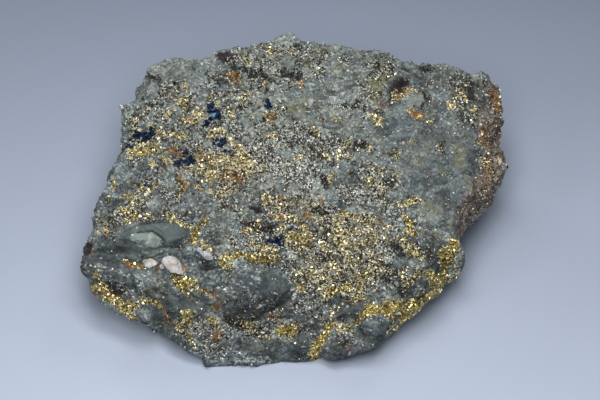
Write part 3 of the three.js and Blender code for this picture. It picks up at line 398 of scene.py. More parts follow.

# Partly the schist's own darker slate, partly painted shade on the steep front faces and the right side
# of the big block.
DEEP_AND_SHADE = [
    # The ledges at the left end.
    (4, 1, (-60, -23), (-52, -23)), (3, 0.9, (-50, -22), (-44, -25)), (4, 0.8, (-56, -27), (-47, -29)),
    (4, 0.5, (-44, -28), (-38, -30)), (5, 0.7, (-42, -14), (-34, -16)),
    (3.2, 0.9, (-36, -16.4), (-33.6, -17.4)), (3, 0.4, (-38, -9)),
    (1.4, 0.7, (-48, -21), (-44, -23.4), (-38, -23)), (3, 0.7, (-38, -22), (-33, -22.6)),
    (3, 0.7, (-42, -33), (-36, -36)), (2.6, 0.9, (-37, -38), (-32, -41)),
    # The blocks and ledges of the front, with painted shade on their steep faces and on the right side of
    # the big block.
    (4.5, 0.9, (-17, -33), (-9, -34)), (4, 0.7, (-12, -29), (-4, -29)), (3, 1, (-5, -31), (-4, -34)),
    (3, 0.4, (4, -34)), (1.5, 0.6, (-22, -32), (-17, -36.4), (-10, -38)),
    (2.4, 0.9, (-33.6, -34.4), (-27, -34.6)), (4, 0.9, (-26, -46), (-18, -46)),
    (4, 0.8, (-16, -45), (-2, -46), (6, -46)), (4, 1, (12, -46), (22, -46)),
    (3.4, 0.9, (20, -42), (25, -42)), (2.6, 1, (12.4, -36.6), (17, -37)), (3, 0.7, (26, -28), (30, -27)),
    (3, 0.9, (34, -31), (38, -32)), (3, 0.9, (35, -22), (39, -22.8)), (1.6, 0.7, (5.2, -17), (5.4, -19)),
    (1.5, 0.6, (17.6, -24), (18.4, -26)),
    # The right end and the back.
    (4, 0.6, (51, 27), (51, 18), (50, 8), (49, 2)), (5, 0.4, (42, 20), (37, 9), (44, 4), (40, 0)),
    (5, 0.3, (28, 8), (28, 1)), (8, 0.62, (33, 14), (44, 8), (45, -3), (35, 1)),
    (3.4, 0.8, (42, -34), (46, -30)), (3.6, 0.4, (-28, -3), (-28, -11)), (3, 0.4, (-44, -11), (-43, -16)),
    (3, 0.4, (-10, 25), (-12, 27)), (1.6, 0.9, (-14, -31), (-11, -34), (-5, -35)),
    (0.8, 0.9, (-8, -28), (-5.4, -31), (-4.4, -34)), (4, 0.3, (44, 27), (46, 32)),
    (4, 0.35, (-44, 25), (-38, 30), (-29, 33)), (4, 0.4, (-52, 8)),
    (4, 0.35, (28, 36), (40, 35), (44, 32)), (3, 0.3, (-53, 3), (-50, 0)), (2, 0.5, (-55, -9)),
    (3, 0.5, (-22, 31)),
]

# The top of the pale nodule, with a paler rim.
MINT = [
    (1.3, 0.5, (-47, -20.4), (-43, -20.8), (-39.6, -20.4)), (1.2, 1, (-45, -20.5), (-42, -20.6)),
    (0.3, 1, (-46.6, -21.6), (-43.6, -22.8), (-40, -22.8), (-38.4, -22)),
]

# The dark smooth plate behind the nodule.
PLATE = [
    (2.8, 1, (-42.6, -16), (-35.6, -16)), (2.6, 1, (-36, -17.4), (-34, -17.6)),
    (2, 1, (-34.6, -15.6), (-33.2, -18.6)),
]

# The weathered crust on the right edge.
CRUST = [
    (3, 1, (58, 31), (58, 26), (58, 20)), (3.4, 1, (55, 16), (58, 12), (58, 18)),
    (3, 1, (55.6, 8), (55, 3), (52.6, -0.6)), (1.7, 0.9, (50.6, -3.4), (47.6, -8), (46, -11.6)),
    (1.6, 0.5, (52, 18), (54, 21)),
]

# Where the rock is smooth and unbroken.
CALM = [
    (5, 1, (-46, -18), (-39, -19)), (4.2, 1, (-35.6, -17)), (2.6, 0.7, (-57, -22), (-50, -23)),
    (3, 0.4, (-50, -27), (-40, -29.4)), (4.4, 0.4, (-14, -30.6), (-5, -31)),
    (8, 0.4, (32, 16), (42, 12), (44, 0), (34, 2)), (6, 0.4, (38, 24), (30, 20)),
    (5, 0.4, (44, -7), (40, -14)), (3.2, 0.3, (20, -41), (25, -41)), (2.2, 0.5, (34, -30.4), (36, -30)),
    (2, 0.7, (-33.6, -34.4), (-27, -34.6)), (2.2, 0.6, (12.6, -36.8), (17, -37.2)), (1.6, 0.7, (-40, -9)),
    (3, 0.4, (36, 0), (38, -3)),
]

# Narrow cracks, cut into the rock, with painted shade: black at the bottom and along the lower edge of
# the dark plate.
CRACKS = [
    (0.35, 1, (-44, -19.2), (-41.4, -18.6), (-40, -18), (-38.4, -18.9), (-36.8, -19.8)),
    (0.5, 1, (-37, -20.7), (-33.6, -20.6), (-31.2, -20.2)),
    (0.3, 0.7, (-44, -13.8), (-40, -13.4), (-36, -13.9), (-33, -14.6)),
    (0.4, 0.8, (-48, -21), (-45, -22.8), (-41, -23.4), (-37, -22.2)),
    (0.4, 0.9, (-27.4, -25.6), (-24.6, -26.4), (-20, -26.4)),
    (0.4, 0.7, (-50, -31), (-44, -32), (-37, -32)),
    (1, 1, (6.8, -31), (9, -30.6), (11.6, -31), (13.4, -30.6)), (0.3, 0.8, (-19, -28), (-19.4, -30.4)),
    (0.3, 0.6, (33.4, -2.8), (34.4, -1.8), (36, -1.2), (38.4, -1.2)),
    (0.25, 0.5, (35.6, 1.8), (36.8, 2.8), (38, 3.2)), (0.35, 0.7, (25, -39.6), (27, -37.6)),
    (0.4, 0.8, (-20, -36.6), (-14, -36.4), (-8, -35.6), (-3.4, -34.4), (-1, -32)),
    (0.3, 0.6, (-2, -37), (4, -39.4)), (0.35, 0.8, (11.4, -38.8), (17, -39)),
    (0.3, 0.7, (12, -35.2), (19, -35.2)),
]

# Pieces of quartz: where, how long, how wide and how deep, the way the length points in
# degrees, and how pink.
QUARTZ = [
    (-41.4, -25.8, 4, 3, 2.2, -10, 1), (-34, -28.2, 5.4, 3.9, 2.8, -28, 0.8),
    (-37.6, -25.6, 2.2, 1.6, 1.6, 20, 0.8), (-25.1, -24.6, 4.4, 2.8, 2.2, -30, 0),
    (-27.2, -22.4, 2.2, 1.4, 1, -20, 0.2), (56.8, 24.4, 1.8, 1.4, 1.2, 40, 0.9),
    (58.4, 9.4, 3.2, 2, 1.6, 80, 1), (57.6, 16.6, 2, 1.4, 1.2, 80, 0.8), (-8, -1, 1.2, 0.8, 0.8, 0, 0.1),
    (5, 10.4, 1.2, 0.8, 0.8, 40, 0.1), (0.6, 28.4, 0.9, 0.7, 0.7, 0, 0.4),
]

# The layouts whose strokes have ragged edges, and those whose strokes have clean ones.
RAGGED = {
    "gold": GOLD, "solid": SOLID, "tarnish": TARNISH, "rust": RUST, "soot": SOOT, "plum": PLUM,
    "olive": OLIVE, "snow": SNOW, "speckled": SPECKLED, "salt": SALT, "pale": PALE, "deep": DEEP_AND_SHADE,
    "crust": CRUST, "calm": CALM,
}
CRISP = {"painted_highlight": PAINTED_HIGHLIGHT, "mint": MINT, "plate": PLATE, "cracks": CRACKS}

# ---- Shader maths -------------------------------------------------------------------------


class Wire:
    """A socket that carries numbers, whose arithmetic adds Math nodes."""

    def __init__(self, finish, socket):
        self.finish = finish
        self.socket = socket

    def __add__(self, other):
        return self.finish.math("ADD", self, other)

    def __sub__(self, other):
        return self.finish.math("SUBTRACT", self, other)

    def __rsub__(self, other):
        return self.finish.math("SUBTRACT", other, self)

    def __mul__(self, other):
        return self.finish.math("MULTIPLY", self, other)

    def __truediv__(self, other):
        return self.finish.math("DIVIDE", self, other)

    def __pow__(self, other):
        return self.finish.math("POWER", self, other)

    def __gt__(self, other):
        return self.finish.math("GREATER_THAN", self, other)

    def __lt__(self, other):
        return self.finish.math("LESS_THAN", self, other)

    __radd__ = __add__
    __rmul__ = __mul__


class Finish:
    """A material under construction."""

    def __init__(self, name):
        self.material = bpy.data.materials.new(name)
        self.material.use_nodes = True
        self.tree = self.material.node_tree
        self.tree.nodes.clear()

    def node(self, kind, settings=None, **sockets):
        """Adds a node. Its settings are set first, then its sockets, named in lower case."""
        node = self.tree.nodes.new(kind)
        for name, value in (settings or {}).items():
            setattr(node, name, value)
        for name, value in sockets.items():
            socket = next(s for s in node.inputs if s.enabled and plain(s.name) == name)
            self.feed(socket, value)
        return node

    def feed(self, socket, value):
        if isinstance(value, Wire):
            value = value.socket
        if isinstance(value, bpy.types.NodeSocket):
            self.tree.links.new(value, socket)
        elif socket.type == "RGBA" and len(value) == 3:
            socket.default_value = (*value, 1)
        else:
            socket.default_value = value

    def combined(self, kind, operation, values):
        """The output of a node that combines `values`, fed to its sockets in their order."""
        node = self.node(kind, {"operation": operation})
        for socket, value in zip(node.inputs, values):
            self.feed(socket, value)
        return node.outputs[0]

    def math(self, operation, *values):
        return Wire(self, self.combined("ShaderNodeMath", operation, values))

    def vector(self, operation, *values):
        return self.combined("ShaderNodeVectorMath", operation, values)

    def clamp(self, value, low, high):
        """0 at `low`, 1 at `high`, and smooth between."""
        node = self.node(
            "ShaderNodeMapRange", {"interpolation_type": "SMOOTHSTEP"},
            value=value, from_min=low, from_max=high,
        )
        return Wire(self, node.outputs[0])

    def mix(self, factor, a, b):
        """From colour `a` to colour `b`."""
        node = self.node("ShaderNodeMix", {"data_type": "RGBA", "clamp_factor": True})
        self.feed(node.inputs["Factor"], factor)
        self.feed(node.inputs[6], a)
        self.feed(node.inputs[7], b)
        return node.outputs[2]

    def place(self):
        return self.node("ShaderNodeTexCoord").outputs["Object"]

    def stretched(self, ratio):
        """Places squeezed along the streaks of the schist, by `ratio`."""
        turn = (0, 0, math.radians(STREAK_TURN))
        node = self.node("ShaderNodeMapping", vector=self.place(), rotation=turn, scale=(ratio, 1, 1))
        return node.outputs[0]

    def layer(self, name):
        """A float attribute of the piece's mesh."""
        node = self.node("ShaderNodeAttribute", {"attribute_name": name})
        return Wire(self, node.outputs["Fac"])

    def noise(self, size, detail=2, roughness=0.5, place=None):
        """Noise from 0 to 1 whose swells are `size` millimetres across."""
        node = self.node(
            "ShaderNodeTexNoise", vector=place or self.place(), scale=1 / (size * MM),
            detail=detail, roughness=roughness,
        )
        return Wire(self, node.outputs[0])

    def crease(self, size, detail):
        """0 along winding lines between swells `size` millimetres across, rising to 1."""
        return self.math("ABSOLUTE", 2 * self.noise(size, detail, 0.6) - 1)

    def wavered(self, size, amount):
        """Places shifted by up to `amount` millimetres, in swells of `size`."""
        swirl = self.node("ShaderNodeTexNoise", vector=self.place(), scale=1 / (size * MM))
        centred = self.vector("SUBTRACT", swirl.outputs["Color"], MID_GREY)
        return self.vector("MULTIPLY_ADD", centred, [2 * amount * MM] * 3, self.place())

    def cells(self, size, place):
        """A random colour for each of many grains `size` millimetres across."""
        node = self.node("ShaderNodeTexVoronoi", vector=place, scale=1 / (size * MM))
        return node.outputs["Color"]

    def split(self, value, kind="ShaderNodeSeparateColor"):
        """The three numbers in a colour or a vector."""
        node = self.node(kind)
        self.feed(node.inputs[0], value)
        return [Wire(self, output) for output in node.outputs]

    def tilted(self, normal, colour, amount):
        """A normal, tilted at random for each cell of `colour`."""
        centred = self.vector("SUBTRACT", colour, MID_GREY)
        scaling = {"operation": "SCALE"}
        scaled = self.node("ShaderNodeVectorMath", scaling, vector=centred, scale=amount)
        return self.vector("NORMALIZE", self.vector("ADD", scaled.outputs[0], normal))

    def bump(self, height, depth):
        """A relief of `height` from 0 to 1, `depth` millimetres deep."""
        node = self.node("ShaderNodeBump", strength=1, distance=depth * MM, height=height)
        return node.outputs[0]

    def done(self, **sockets):
        shader = self.node("ShaderNodeBsdfPrincipled", **sockets)
        self.node("ShaderNodeOutputMaterial", surface=shader.outputs[0])
        return self.material


def plain(name):
    return name.lower().replace(" ", "_")


# ---- Masks --------------------------------------------------------------------------------


def smoothstep(low, high, x):
    t = np.clip((x - low) / (high - low), 0, 1)
    return t * t * (3 - 2 * t)


def swell(points, size, shift=0):
    """Noise from about -1 to 1 at each point, whose swells are `size` across."""
    return np.array([noise.noise(Vector(p)) for p in points / size + shift]) * NOISE_GAIN


def crease(points, size):
    """How near each point is to the joins between lumps `size` across: 1 on a join, 0 inside."""
    near = np.array([noise.voronoi(Vector(p))[0][:2] for p in points / size])
    return 1 - smoothstep(0, 0.35, near[:, 1] - near[:, 0])


def valley(points, size):
    """1 along the winding valleys between swells `size` across, and 0 elsewhere."""
    return 1 - smoothstep(0, 0.17, np.abs(swell(points, size, 71)) / NOISE_GAIN)


def strokes(places, layout):
    """How strongly the strokes of a layout cover each place, from 0 to 1."""
    cover = np.zeros(len(places))
    for width, strength, *points in layout:
        ends = points[1:] or points
        for a, b in zip(np.array(points, float), np.array(ends, float)):
            along = b - a
            t = np.clip((places - a) @ along / max(along @ along, 1e-9), 0, 1)
            away = np.linalg.norm(places - a - t[:, None] * along, axis=1)
            cover = np.maximum(cover, strength * smoothstep(1.5, 0.5, away / width))
    return cover


def moved_edge(places):
    """How far each place moves as the edge is brought out and in."""
    moves = np.zeros_like(places)
    for x, y, reach, right, back in EDGE:
        away = np.linalg.norm(places - (x, y), axis=1) / reach
        moves += smoothstep(1, 0.3, away)[:, None] * (right, back)
    return moves


def warped(points):
    """Places seen from above, wavered so that strokes have ragged edges."""
    waver = np.stack([swell(points, 2.6, shift) for shift in (31, 57)], axis=1)
    ripple = np.stack([swell(points, 1.0, shift) for shift in (11, 23)], axis=1)
    return points[:, :2] + 0.5 * waver + 0.35 * ripple


def grainy(points, speckled, calm):
    """1 where the rock is broken into specks, 0 in the sound schist between."""
    patches = 0.3 * swell(points, 4.5, 43) + 0.3 * swell(points, 1.5, 17)
    return smoothstep(0.42, 0.78, 0.26 + 0.42 * speckled + patches) * (1 - 0.9 * calm)


def within_box(points):
    low, high = (np.array(corner) / MM for corner in CAD_BOX)
    return np.clip(points, low, high)


# ---- Meshes -------------------------------------------------------------------------------


def only(piece):
    bpy.ops.object.select_all(action="DESELECT")
    piece.select_set(True)
    bpy.context.view_layer.objects.active = piece


def modify(piece, kind, **settings):
    """Adds a modifier to a piece and applies it."""
    only(piece)
    modifier = piece.modifiers.new(kind.title(), kind)
    for name, value in settings.items():
        setattr(modifier, name, value)
    bpy.ops.object.modifier_apply(modifier=modifier.name)


def read(values, name, width):
    """A property of every vertex, `width` numbers for each."""
    numbers = np.empty((len(values), width))
    values.foreach_get(name, numbers.ravel())
    return numbers


def vertices_of(piece):
    return read(piece.data.vertices, "co", 3) / MM


def normals_of(piece):
    return read(piece.data.vertex_normals, "vector", 3)


def layer_of(piece, name):
    return read(piece.data.attributes[name].data, "value", 1)[:, 0]


def add_layer(piece, name, values):
    layer = piece.data.attributes.new(name, "FLOAT", "POINT")
    layer.data.foreach_set("value", np.asarray(values, np.float32))


def move_vertices(piece, points):
    piece.data.vertices.foreach_set("co", (points * MM).ravel())
    piece.data.update()


def taken_apart(shape):
    """The points of a shape, from their middle, and its triangles. The shape is then removed."""
    points = np.array([v.co[:] for v in shape.data.vertices])
    faces = np.array([p.vertices[:] for p in shape.data.polygons])
    bpy.data.objects.remove(shape)
    return points - points.mean(axis=0), faces


# ---- The rock -----------------------------------------------------------------------------


def relief(points):
    """How far each point of the rock's surface stands out, where it is broken up or cracked."""
    places = warped(points)
    rich, calm, dark, crust = (strokes(places, layout) for layout in (GOLD, CALM, SOOT, CRUST))
    cracks = strokes(points[:, :2], CRACKS)
    broken = np.maximum.reduce([grainy(points, strokes(places, SPECKLED), calm), rich, crust])
    rough = (0.5 + 0.5 * broken) * (1 - 0.85 * calm) * (1 - 0.4 * crust)
    height = (
        (1 - 0.6 * calm) * 0.6 * swell(points, 7)
        + rough * (0.5 * swell(points, 2.8) + 0.3 * swell(points, 1.1))
        - rough * (0.7 * crease(points, LUMP) + 0.45 * valley(points, 2) + 0.3 * valley(points, 1))
        + 0.35 * rich
        - 0.5 * dark * rough
        - 0.8 * cracks
    )
    return height * smoothstep(*REST_FADE, points[:, 2])


def make_rock():
    """The schist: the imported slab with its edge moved, and with a relief."""
    rock = frame["nodes"]["ore_slab"].copy()
    rock.data = rock.data.copy()
    rock.name = "schist"
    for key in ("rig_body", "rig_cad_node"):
        del rock[key]
    bpy.context.scene.collection.objects.link(rock)
    modify(rock, "WELD", merge_threshold=0.001 * MM)
    modify(rock, "REMESH", mode="VOXEL", voxel_size=VOXEL * MM)
    modify(rock, "SMOOTH", iterations=3, factor=0.5)

    points = vertices_of(rock)
    points[:, :2] += moved_edge(points[:, :2])
    points += relief(points)[:, None] * normals_of(rock)
    points[:, 0] -= BLUNTING * np.maximum(points[:, 0] - BLUNT_END, 0)
    move_vertices(rock, within_box(points))
    return rock


def thin_underside(rock):
    """Leaves fewer triangles in the rock, above all where it faces down."""
    group = rock.vertex_groups.new(name="underside")
    hidden = smoothstep(0.1, -0.25, normals_of(rock)[:, 2])
    for index in np.nonzero(hidden > 0.01)[0]:
        group.add([int(index)], hidden[index], "REPLACE")
    ratio = ROCK_TRIANGLES / (2 * len(rock.data.polygons))
    modify(rock, "DECIMATE", ratio=ratio, vertex_group=group.name, vertex_group_factor=10)
    rock.vertex_groups.clear()
    move_vertices(rock, within_box(vertices_of(rock)))


def add_rock_layers(rock):
    """Adds a float attribute for each layout, and gives them back by name."""
    points = vertices_of(rock)
    places = warped(points)
    layers = {name: strokes(places, layout) for name, layout in RAGGED.items()}
    for name, layout in CRISP.items():
        layers[name] = strokes(points[:, :2], layout)
    # The sunken joins and valleys of the relief, where shade is painted.
    layers["join_shade"] = np.maximum(crease(points, LUMP), valley(points, 2))
    specked = grainy(points, layers["speckled"], layers["calm"])
    layers["grainy"] = np.maximum(specked, 0.5 * layers["crust"])
    for name, values in layers.items():
        add_layer(rock, name, values)
    return layers


# ---- Finishes -----------------------------------------------------------------------------


def sound_schist(f, crumple):
    """The colour of the schist: soft streaks and lumps of their own tones, bluish to olive."""
    lump, lump_hue, _ = f.split(f.cells(LUMP, f.wavered(3, 2)))
    calm = f.layer("calm")
    pale = f.layer("pale")
    hues = 0.5 * f.noise(5, 3) + 0.35 * f.noise(1.2, 3) + 0.15 * lump_hue + 0.05 * pale
    hue = f.clamp(hues, 0.43, 0.62)
    slate = f.mix(hue, (0.056, 0.078, 0.094), (0.078, 0.082, 0.07))
    chlorite = f.mix(hue, (0.48, 0.58, 0.58), (0.58, 0.615, 0.52))
    streaks = f.noise(1.3, 5, 0.7, f.stretched(0.45))
    shade = 0.35 * f.noise(9, 3) + 0.45 * streaks + 0.2 * lump
    colour = f.mix(f.clamp(shade, 0.34, 0.64), slate, chlorite)
    fine = f.noise(0.4, 4, 0.75)
    colour = f.mix(f.clamp(fine, 0.5, 0.6) * 0.55, colour, (0.05, 0.06, 0.066))
    colour = f.mix(f.clamp(fine, 0.46, 0.36) * (0.55 - 0.3 * calm), colour, (0.68, 0.74, 0.7))
    # Painted shade: the grooves of the crumpled relief are darkened.
    groove_shade = crumple * (0.35 + 0.35 * f.layer("grainy")) * (1 - 0.6 * calm)
    colour = f.mix(groove_shade, colour, (0.022, 0.028, 0.03))
    colour = f.mix(pale * f.clamp(f.noise(3, 3), 0.3, 0.6) * 0.55, colour, (0.52, 0.58, 0.52))
    # Darker schist: partly its own slate, partly painted shade on the steep front faces.
    return f.mix(f.layer("deep") * 0.8, colour, (0.045, 0.058, 0.066))


def filmed_schist(f, colour):
    """Over the schist: the plate, the nodule, olive films, the crust, and white patches."""
    plate = f.clamp(f.layer("plate"), 0.35, 0.6)
    colour = f.mix(plate * 0.75, colour, (0.088, 0.118, 0.12))
    colour = f.mix(f.clamp(f.layer("mint"), 0.42, 0.8) * 0.85, colour, (0.235, 0.3, 0.262))
    olive = f.layer("olive") * f.clamp(f.noise(1.6, 3), 0.15, 0.42)
    colour = f.mix(olive * 0.75, colour, (0.27, 0.26, 0.11))
    crust = f.mix(f.clamp(f.noise(0.9, 5, 0.7), 0.34, 0.6), (0.065, 0.048, 0.038), (0.5, 0.405, 0.365))
    crust = f.mix(f.clamp(f.noise(1.8, 3), 0.5, 0.6) * 0.6, crust, (0.26, 0.13, 0.05))
    colour = f.mix(f.layer("crust"), colour, crust)
    snow = f.layer("snow") * f.clamp(f.noise(0.6, 3, 0.5, f.stretched(0.35)), 0.45, 0.56)
    return f.mix(snow * 0.85, colour, (0.6, 0.67, 0.66))


def stained_schist(f, colour, gold):
    """Over that: rust, dark stains, the matter that holds the gold grains, and painted shade in the joins
    and valleys between lumps.
    """
    brown = f.mix(f.clamp(f.noise(0.5, 4, 0.7), 0.4, 0.6), (0.55, 0.24, 0.035), (0.17, 0.072, 0.017))
    colour = f.mix(f.layer("rust") * f.clamp(f.noise(1.2, 3), 0.18, 0.36), colour, brown)
    colour = f.mix(f.layer("soot") * f.clamp(f.noise(1, 4), 0.35, 0.5), colour, (0.015, 0.015, 0.018))
    colour = f.mix(f.layer("plum"), colour, (0.035, 0.022, 0.028))
    grainy = f.layer("grainy")
    colour = f.mix(grainy * 0.3, colour, (0.24, 0.246, 0.225))
    colour = f.mix(gold * 0.75, colour, (0.25, 0.23, 0.16))
    colour = f.mix(f.layer("solid") * 0.6, colour, (0.36, 0.31, 0.13))
    # Painted shade: near black in the sunken joins and valleys between the lumps.
    narrowed = f.layer("join_shade") * f.clamp(f.noise(1.2, 3), 0.38, 0.6)
    painted_gap_shade = narrowed * (0.4 + 0.6 * grainy + 0.3 * gold)
    return f.mix(painted_gap_shade * (1 - 0.8 * f.layer("calm")), colour, (0.007, 0.007, 0.006))


def schist_finish():
    """The schist with its films and stains, and in it small grains of every tone."""
    f = Finish("schist")
    calm, grainy, salt, solid, rust = map(f.layer, ("calm", "grainy", "salt", "solid", "rust"))
    gold = f.layer("gold") * (1 - 0.6 * rust)
    crumple = 1 - f.clamp(f.crease(1.5, 4), 0, 0.16)
    colour = stained_schist(f, filmed_schist(f, sound_schist(f, crumple)), gold)

    # Where a grain of each kind is: each takes its share of the cells by their random colours.
    flake_colour = f.cells(0.9, f.wavered(0.9, 0.5))
    grain_colour = f.cells(0.36, f.wavered(0.8, 0.25))
    pick, tone, glint = f.split(grain_colour)
    busy = (0.06 + 0.9 * grainy + 0.55 * salt + 0.5 * gold) * (1 - 0.8 * calm) * (1 - 0.6 * rust)
    bright = busy * (1 - 0.7 * f.layer("deep")) * (1 - 0.7 * f.layer("crust"))
    dark_grain = pick < busy * (0.25 + 0.1 * solid) + f.layer("soot") * 0.4
    pale_grain = pick > 1 - bright * (0.15 + 0.1 * salt + 0.12 * gold) * (1 - solid)
    rich = 0.85 * gold ** 2 + 0.15 * solid + grainy * 0.07 + rust * 0.12
    gold_grain = (tone < rich) * (1 - pale_grain)
    brown_grain = tone > 1 - busy * 0.3

    # Their colours, the tarnish with a painted highlight on one patch, and the cracks painted black as
    # shade.
    brown = f.mix(glint, (0.12, 0.1, 0.06), (0.22, 0.11, 0.035))
    colour = f.mix(brown_grain * 0.75, colour, brown)
    colour = f.mix(dark_grain * 0.92, colour, (0.008, 0.009, 0.01))
    cream = f.mix(2 * gold + 0.45 * grainy, (0.93, 0.96, 0.9), (1, 0.95, 0.68))
    colour = f.mix(pale_grain * 0.9, colour, f.mix(rust, cream, (0.7, 0.4, 0.12)))
    tarnish = f.layer("tarnish")
    painted_highlight = f.layer("painted_highlight") ** 5
    colour = f.mix(tarnish, colour, (0.016, 0.036, 0.1))
    # Painted highlight: pale blue painted on the one patch of tarnish that catches the light.
    colour = f.mix(painted_highlight, colour, (0.22, 0.6, 1))
    # Painted shade: the cracks are black.
    colour = f.mix(f.layer("cracks"), colour, (0.01, 0.011, 0.012))
    brass = f.mix(tone, (1, 0.94, 0.61), (0.38, 0.34, 0.17))
    brass = f.mix(solid, brass, f.mix(tone, (1, 0.87, 0.4), (0.36, 0.3, 0.1)))
    brass = f.mix(rust * 0.8, brass, (0.85, 0.5, 0.14))
    colour = f.mix(gold_grain, colour, brass)

    # The relief, then facets that each catch the light in their own way.
    swells = f.noise(0.7, 5, 0.7) * (0.6 + 0.4 * grainy) - 0.5 * crumple
    facets = f.bump(swells * (1 - 0.7 * calm), 0.6)
    facets = f.tilted(facets, flake_colour, (0.35 + 0.6 * grainy) * (1 - 0.7 * calm))
    facets = f.tilted(facets, grain_colour, 0.3 + busy + 0.5 * gold_grain)
    mica = (glint > 0.88) * (1 - calm)
    shine = 0.3 * gold_grain + 0.3 * tarnish + 0.2 * pale_grain + 0.25 * mica
    return f.done(
        base_color=colour, metallic=gold_grain * 0.85 + tarnish * 0.7 * (1 - painted_highlight),
        roughness=0.64 - shine, normal=facets,
    )


def chalcopyrite_finish():
    """Brass yellow, in grains of every depth of tone."""
    f = Finish("chalcopyrite")
    tone = f.layer("tone")
    colour = f.mix(f.clamp(tone, 0.2, 0.5), (1, 0.93, 0.62), (0.7, 0.61, 0.33))
    vein = f.mix(f.clamp(tone, 0.2, 0.5), (1, 0.87, 0.4), (0.72, 0.59, 0.22))
    colour = f.mix(f.layer("solid"), colour, vein)
    colour = f.mix(f.clamp(tone, 0.7, 0.76), colour, (0.16, 0.12, 0.045))
    colour = f.mix(f.clamp(f.noise(0.5, 3), 0.48, 0.6) * 0.6, colour, (0.17, 0.125, 0.045))
    return f.done(
        base_color=colour, metallic=1.0, roughness=0.24 + 0.25 * tone,
        normal=f.bump(f.noise(0.25), 0.05),
    )


def flake_finish():
    """Broken flakes of the schist, from slate to pale grey-green."""
    f = Finish("schist_flakes")
    colour = f.mix(f.layer("tone"), (0.08, 0.096, 0.1), (0.6, 0.66, 0.63))
    colour = f.mix(f.layer("gold"), colour, (0.34, 0.3, 0.19))
    colour = f.mix(f.clamp(f.noise(0.5, 3), 0.45, 0.7) * 0.5, colour, (0.07, 0.084, 0.088))
    return f.done(base_color=colour, roughness=0.6, normal=f.bump(f.noise(0.3, 3), 0.08))


def tarnish_finish():
    """Chalcopyrite that has tarnished blue."""
    f = Finish("blue_tarnish")
    return f.done(
        base_color=f.mix(f.layer("tone"), (0.02, 0.045, 0.115), (0.04, 0.045, 0.075)),
        metallic=0.8, roughness=0.22 + 0.2 * f.noise(0.5), normal=f.bump(f.noise(0.3), 0.05),
    )


def pale_finish():
    """White and silvery flecks of quartz, feldspar and mica."""
    f = Finish("pale_mineral")
    tone = f.layer("tone")
    colour = f.mix(f.clamp(tone, 0.35, 0.65), (1, 0.985, 0.91), (0.5, 0.54, 0.49))
    colour = f.mix(f.layer("gold") * 1.8, colour, (1, 0.93, 0.7))
    return f.done(
        base_color=colour, metallic=f.clamp(tone, 0.55, 0.6) * 0.6, roughness=0.3 + 0.2 * tone,
        normal=f.bump(f.noise(0.3), 0.04),
    )


def dark_finish():
    """Black and blackish grains of sphalerite and hornblende."""
    f = Finish("dark_mineral")
    colour = f.mix(f.layer("tone"), (0.012, 0.014, 0.016), (0.04, 0.03, 0.022))
    return f.done(base_color=colour, roughness=0.3 + 0.3 * f.noise(0.5))


def quartz_finish():
    """Grey to pinkish quartz, clouded white and stained brown and grey."""
    f = Finish("quartz")
    tone = f.layer("tone")
    colour = f.mix(tone, (0.42, 0.45, 0.56), (0.48, 0.45, 0.41))
    colour = f.mix(f.clamp(f.noise(1.5, 4), 0.45, 0.6), colour, (0.62, 0.62, 0.6))
    colour = f.mix(f.clamp(f.noise(2.6, 3), 0.48, 0.62) * tone * 0.7, colour, (0.46, 0.34, 0.22))
    colour = f.mix(f.clamp(f.noise(0.7, 4), 0.56, 0.68) * 0.7, colour, (0.15, 0.14, 0.13))
    return f.done(
        base_color=colour, roughness=0.35 + 0.2 * f.noise(0.5),
        normal=f.bump(f.noise(0.6, 4), 0.14),
    )


# ---- Grains -------------------------------------------------------------------------------


def cone_shape(sides, radius, depth, top_radius=0, corner_cut=0):
    """Points and triangles of a cone, its corners cut off at a share of an edge in percent."""
    bpy.ops.object.select_all(action="DESELECT")
    bpy.ops.mesh.primitive_cone_add(vertices=sides, radius1=radius, radius2=top_radius, depth=depth)
    bpy.ops.object.mode_set(mode="EDIT")
    bpy.ops.mesh.select_all(action="SELECT")
    if corner_cut:
        bpy.ops.mesh.bevel(offset_type="PERCENT", offset_pct=corner_cut, affect="VERTICES")
    bpy.ops.mesh.quads_convert_to_tris()
    bpy.ops.object.mode_set(mode="OBJECT")
    return taken_apart(bpy.context.object)


def rotations(count):
    """Random turns, as matrices."""
    q = RANDOM.normal(size=(count, 4))
    w, x, y, z = (q / np.linalg.norm(q, axis=1)[:, None]).T
    return np.stack([
        1 - 2 * (y * y + z * z), 2 * (x * y - z * w), 2 * (x * z + y * w),
        2 * (x * y + z * w), 1 - 2 * (x * x + z * z), 2 * (y * z - x * w),
        2 * (x * z - y * w), 2 * (y * z + x * w), 1 - 2 * (x * x + y * y),
    ], axis=1).reshape(-1, 3, 3)


def laid_flat(normals):
    """Turns that lay shapes along a surface, each spun at random and tilted a little."""
    up = normals + RANDOM.normal(0, 0.3, normals.shape)
    up /= np.linalg.norm(up, axis=1)[:, None]
    along = np.cross(up, RANDOM.normal(size=normals.shape))
    along /= np.linalg.norm(along, axis=1)[:, None]
    return np.stack([along, np.cross(up, along), up], axis=2)


def sow(rock, chance, count):
    """Seats on the rock, denser where `chance` is greater, and the layers that grains carry."""
    mesh = rock.data
    mesh.calc_loop_triangles()
    corners = np.empty(3 * len(mesh.loop_triangles), int)
    mesh.loop_triangles.foreach_get("vertices", corners)
    corners = corners.reshape(-1, 3)
    points = vertices_of(rock)
    a, b, c = (points[corners[:, k]] for k in range(3))
    area = np.linalg.norm(np.cross(b - a, c - a), axis=1)
    weight = area * chance[corners].mean(axis=1)
    picks = RANDOM.choice(len(corners), count, p=weight / weight.sum())
    u, v = RANDOM.random((2, count, 1))
    flip = (u + v) > 1
    u, v = np.where(flip, 1 - u, u), np.where(flip, 1 - v, v)
    normals = normals_of(rock)[corners[picks]].mean(axis=1)
    layers = {name: layer_of(rock, name)[corners[picks]].mean(axis=1) for name in ("gold", "solid")}
    return a[picks] + u * (b - a)[picks] + v * (c - a)[picks], normals, layers


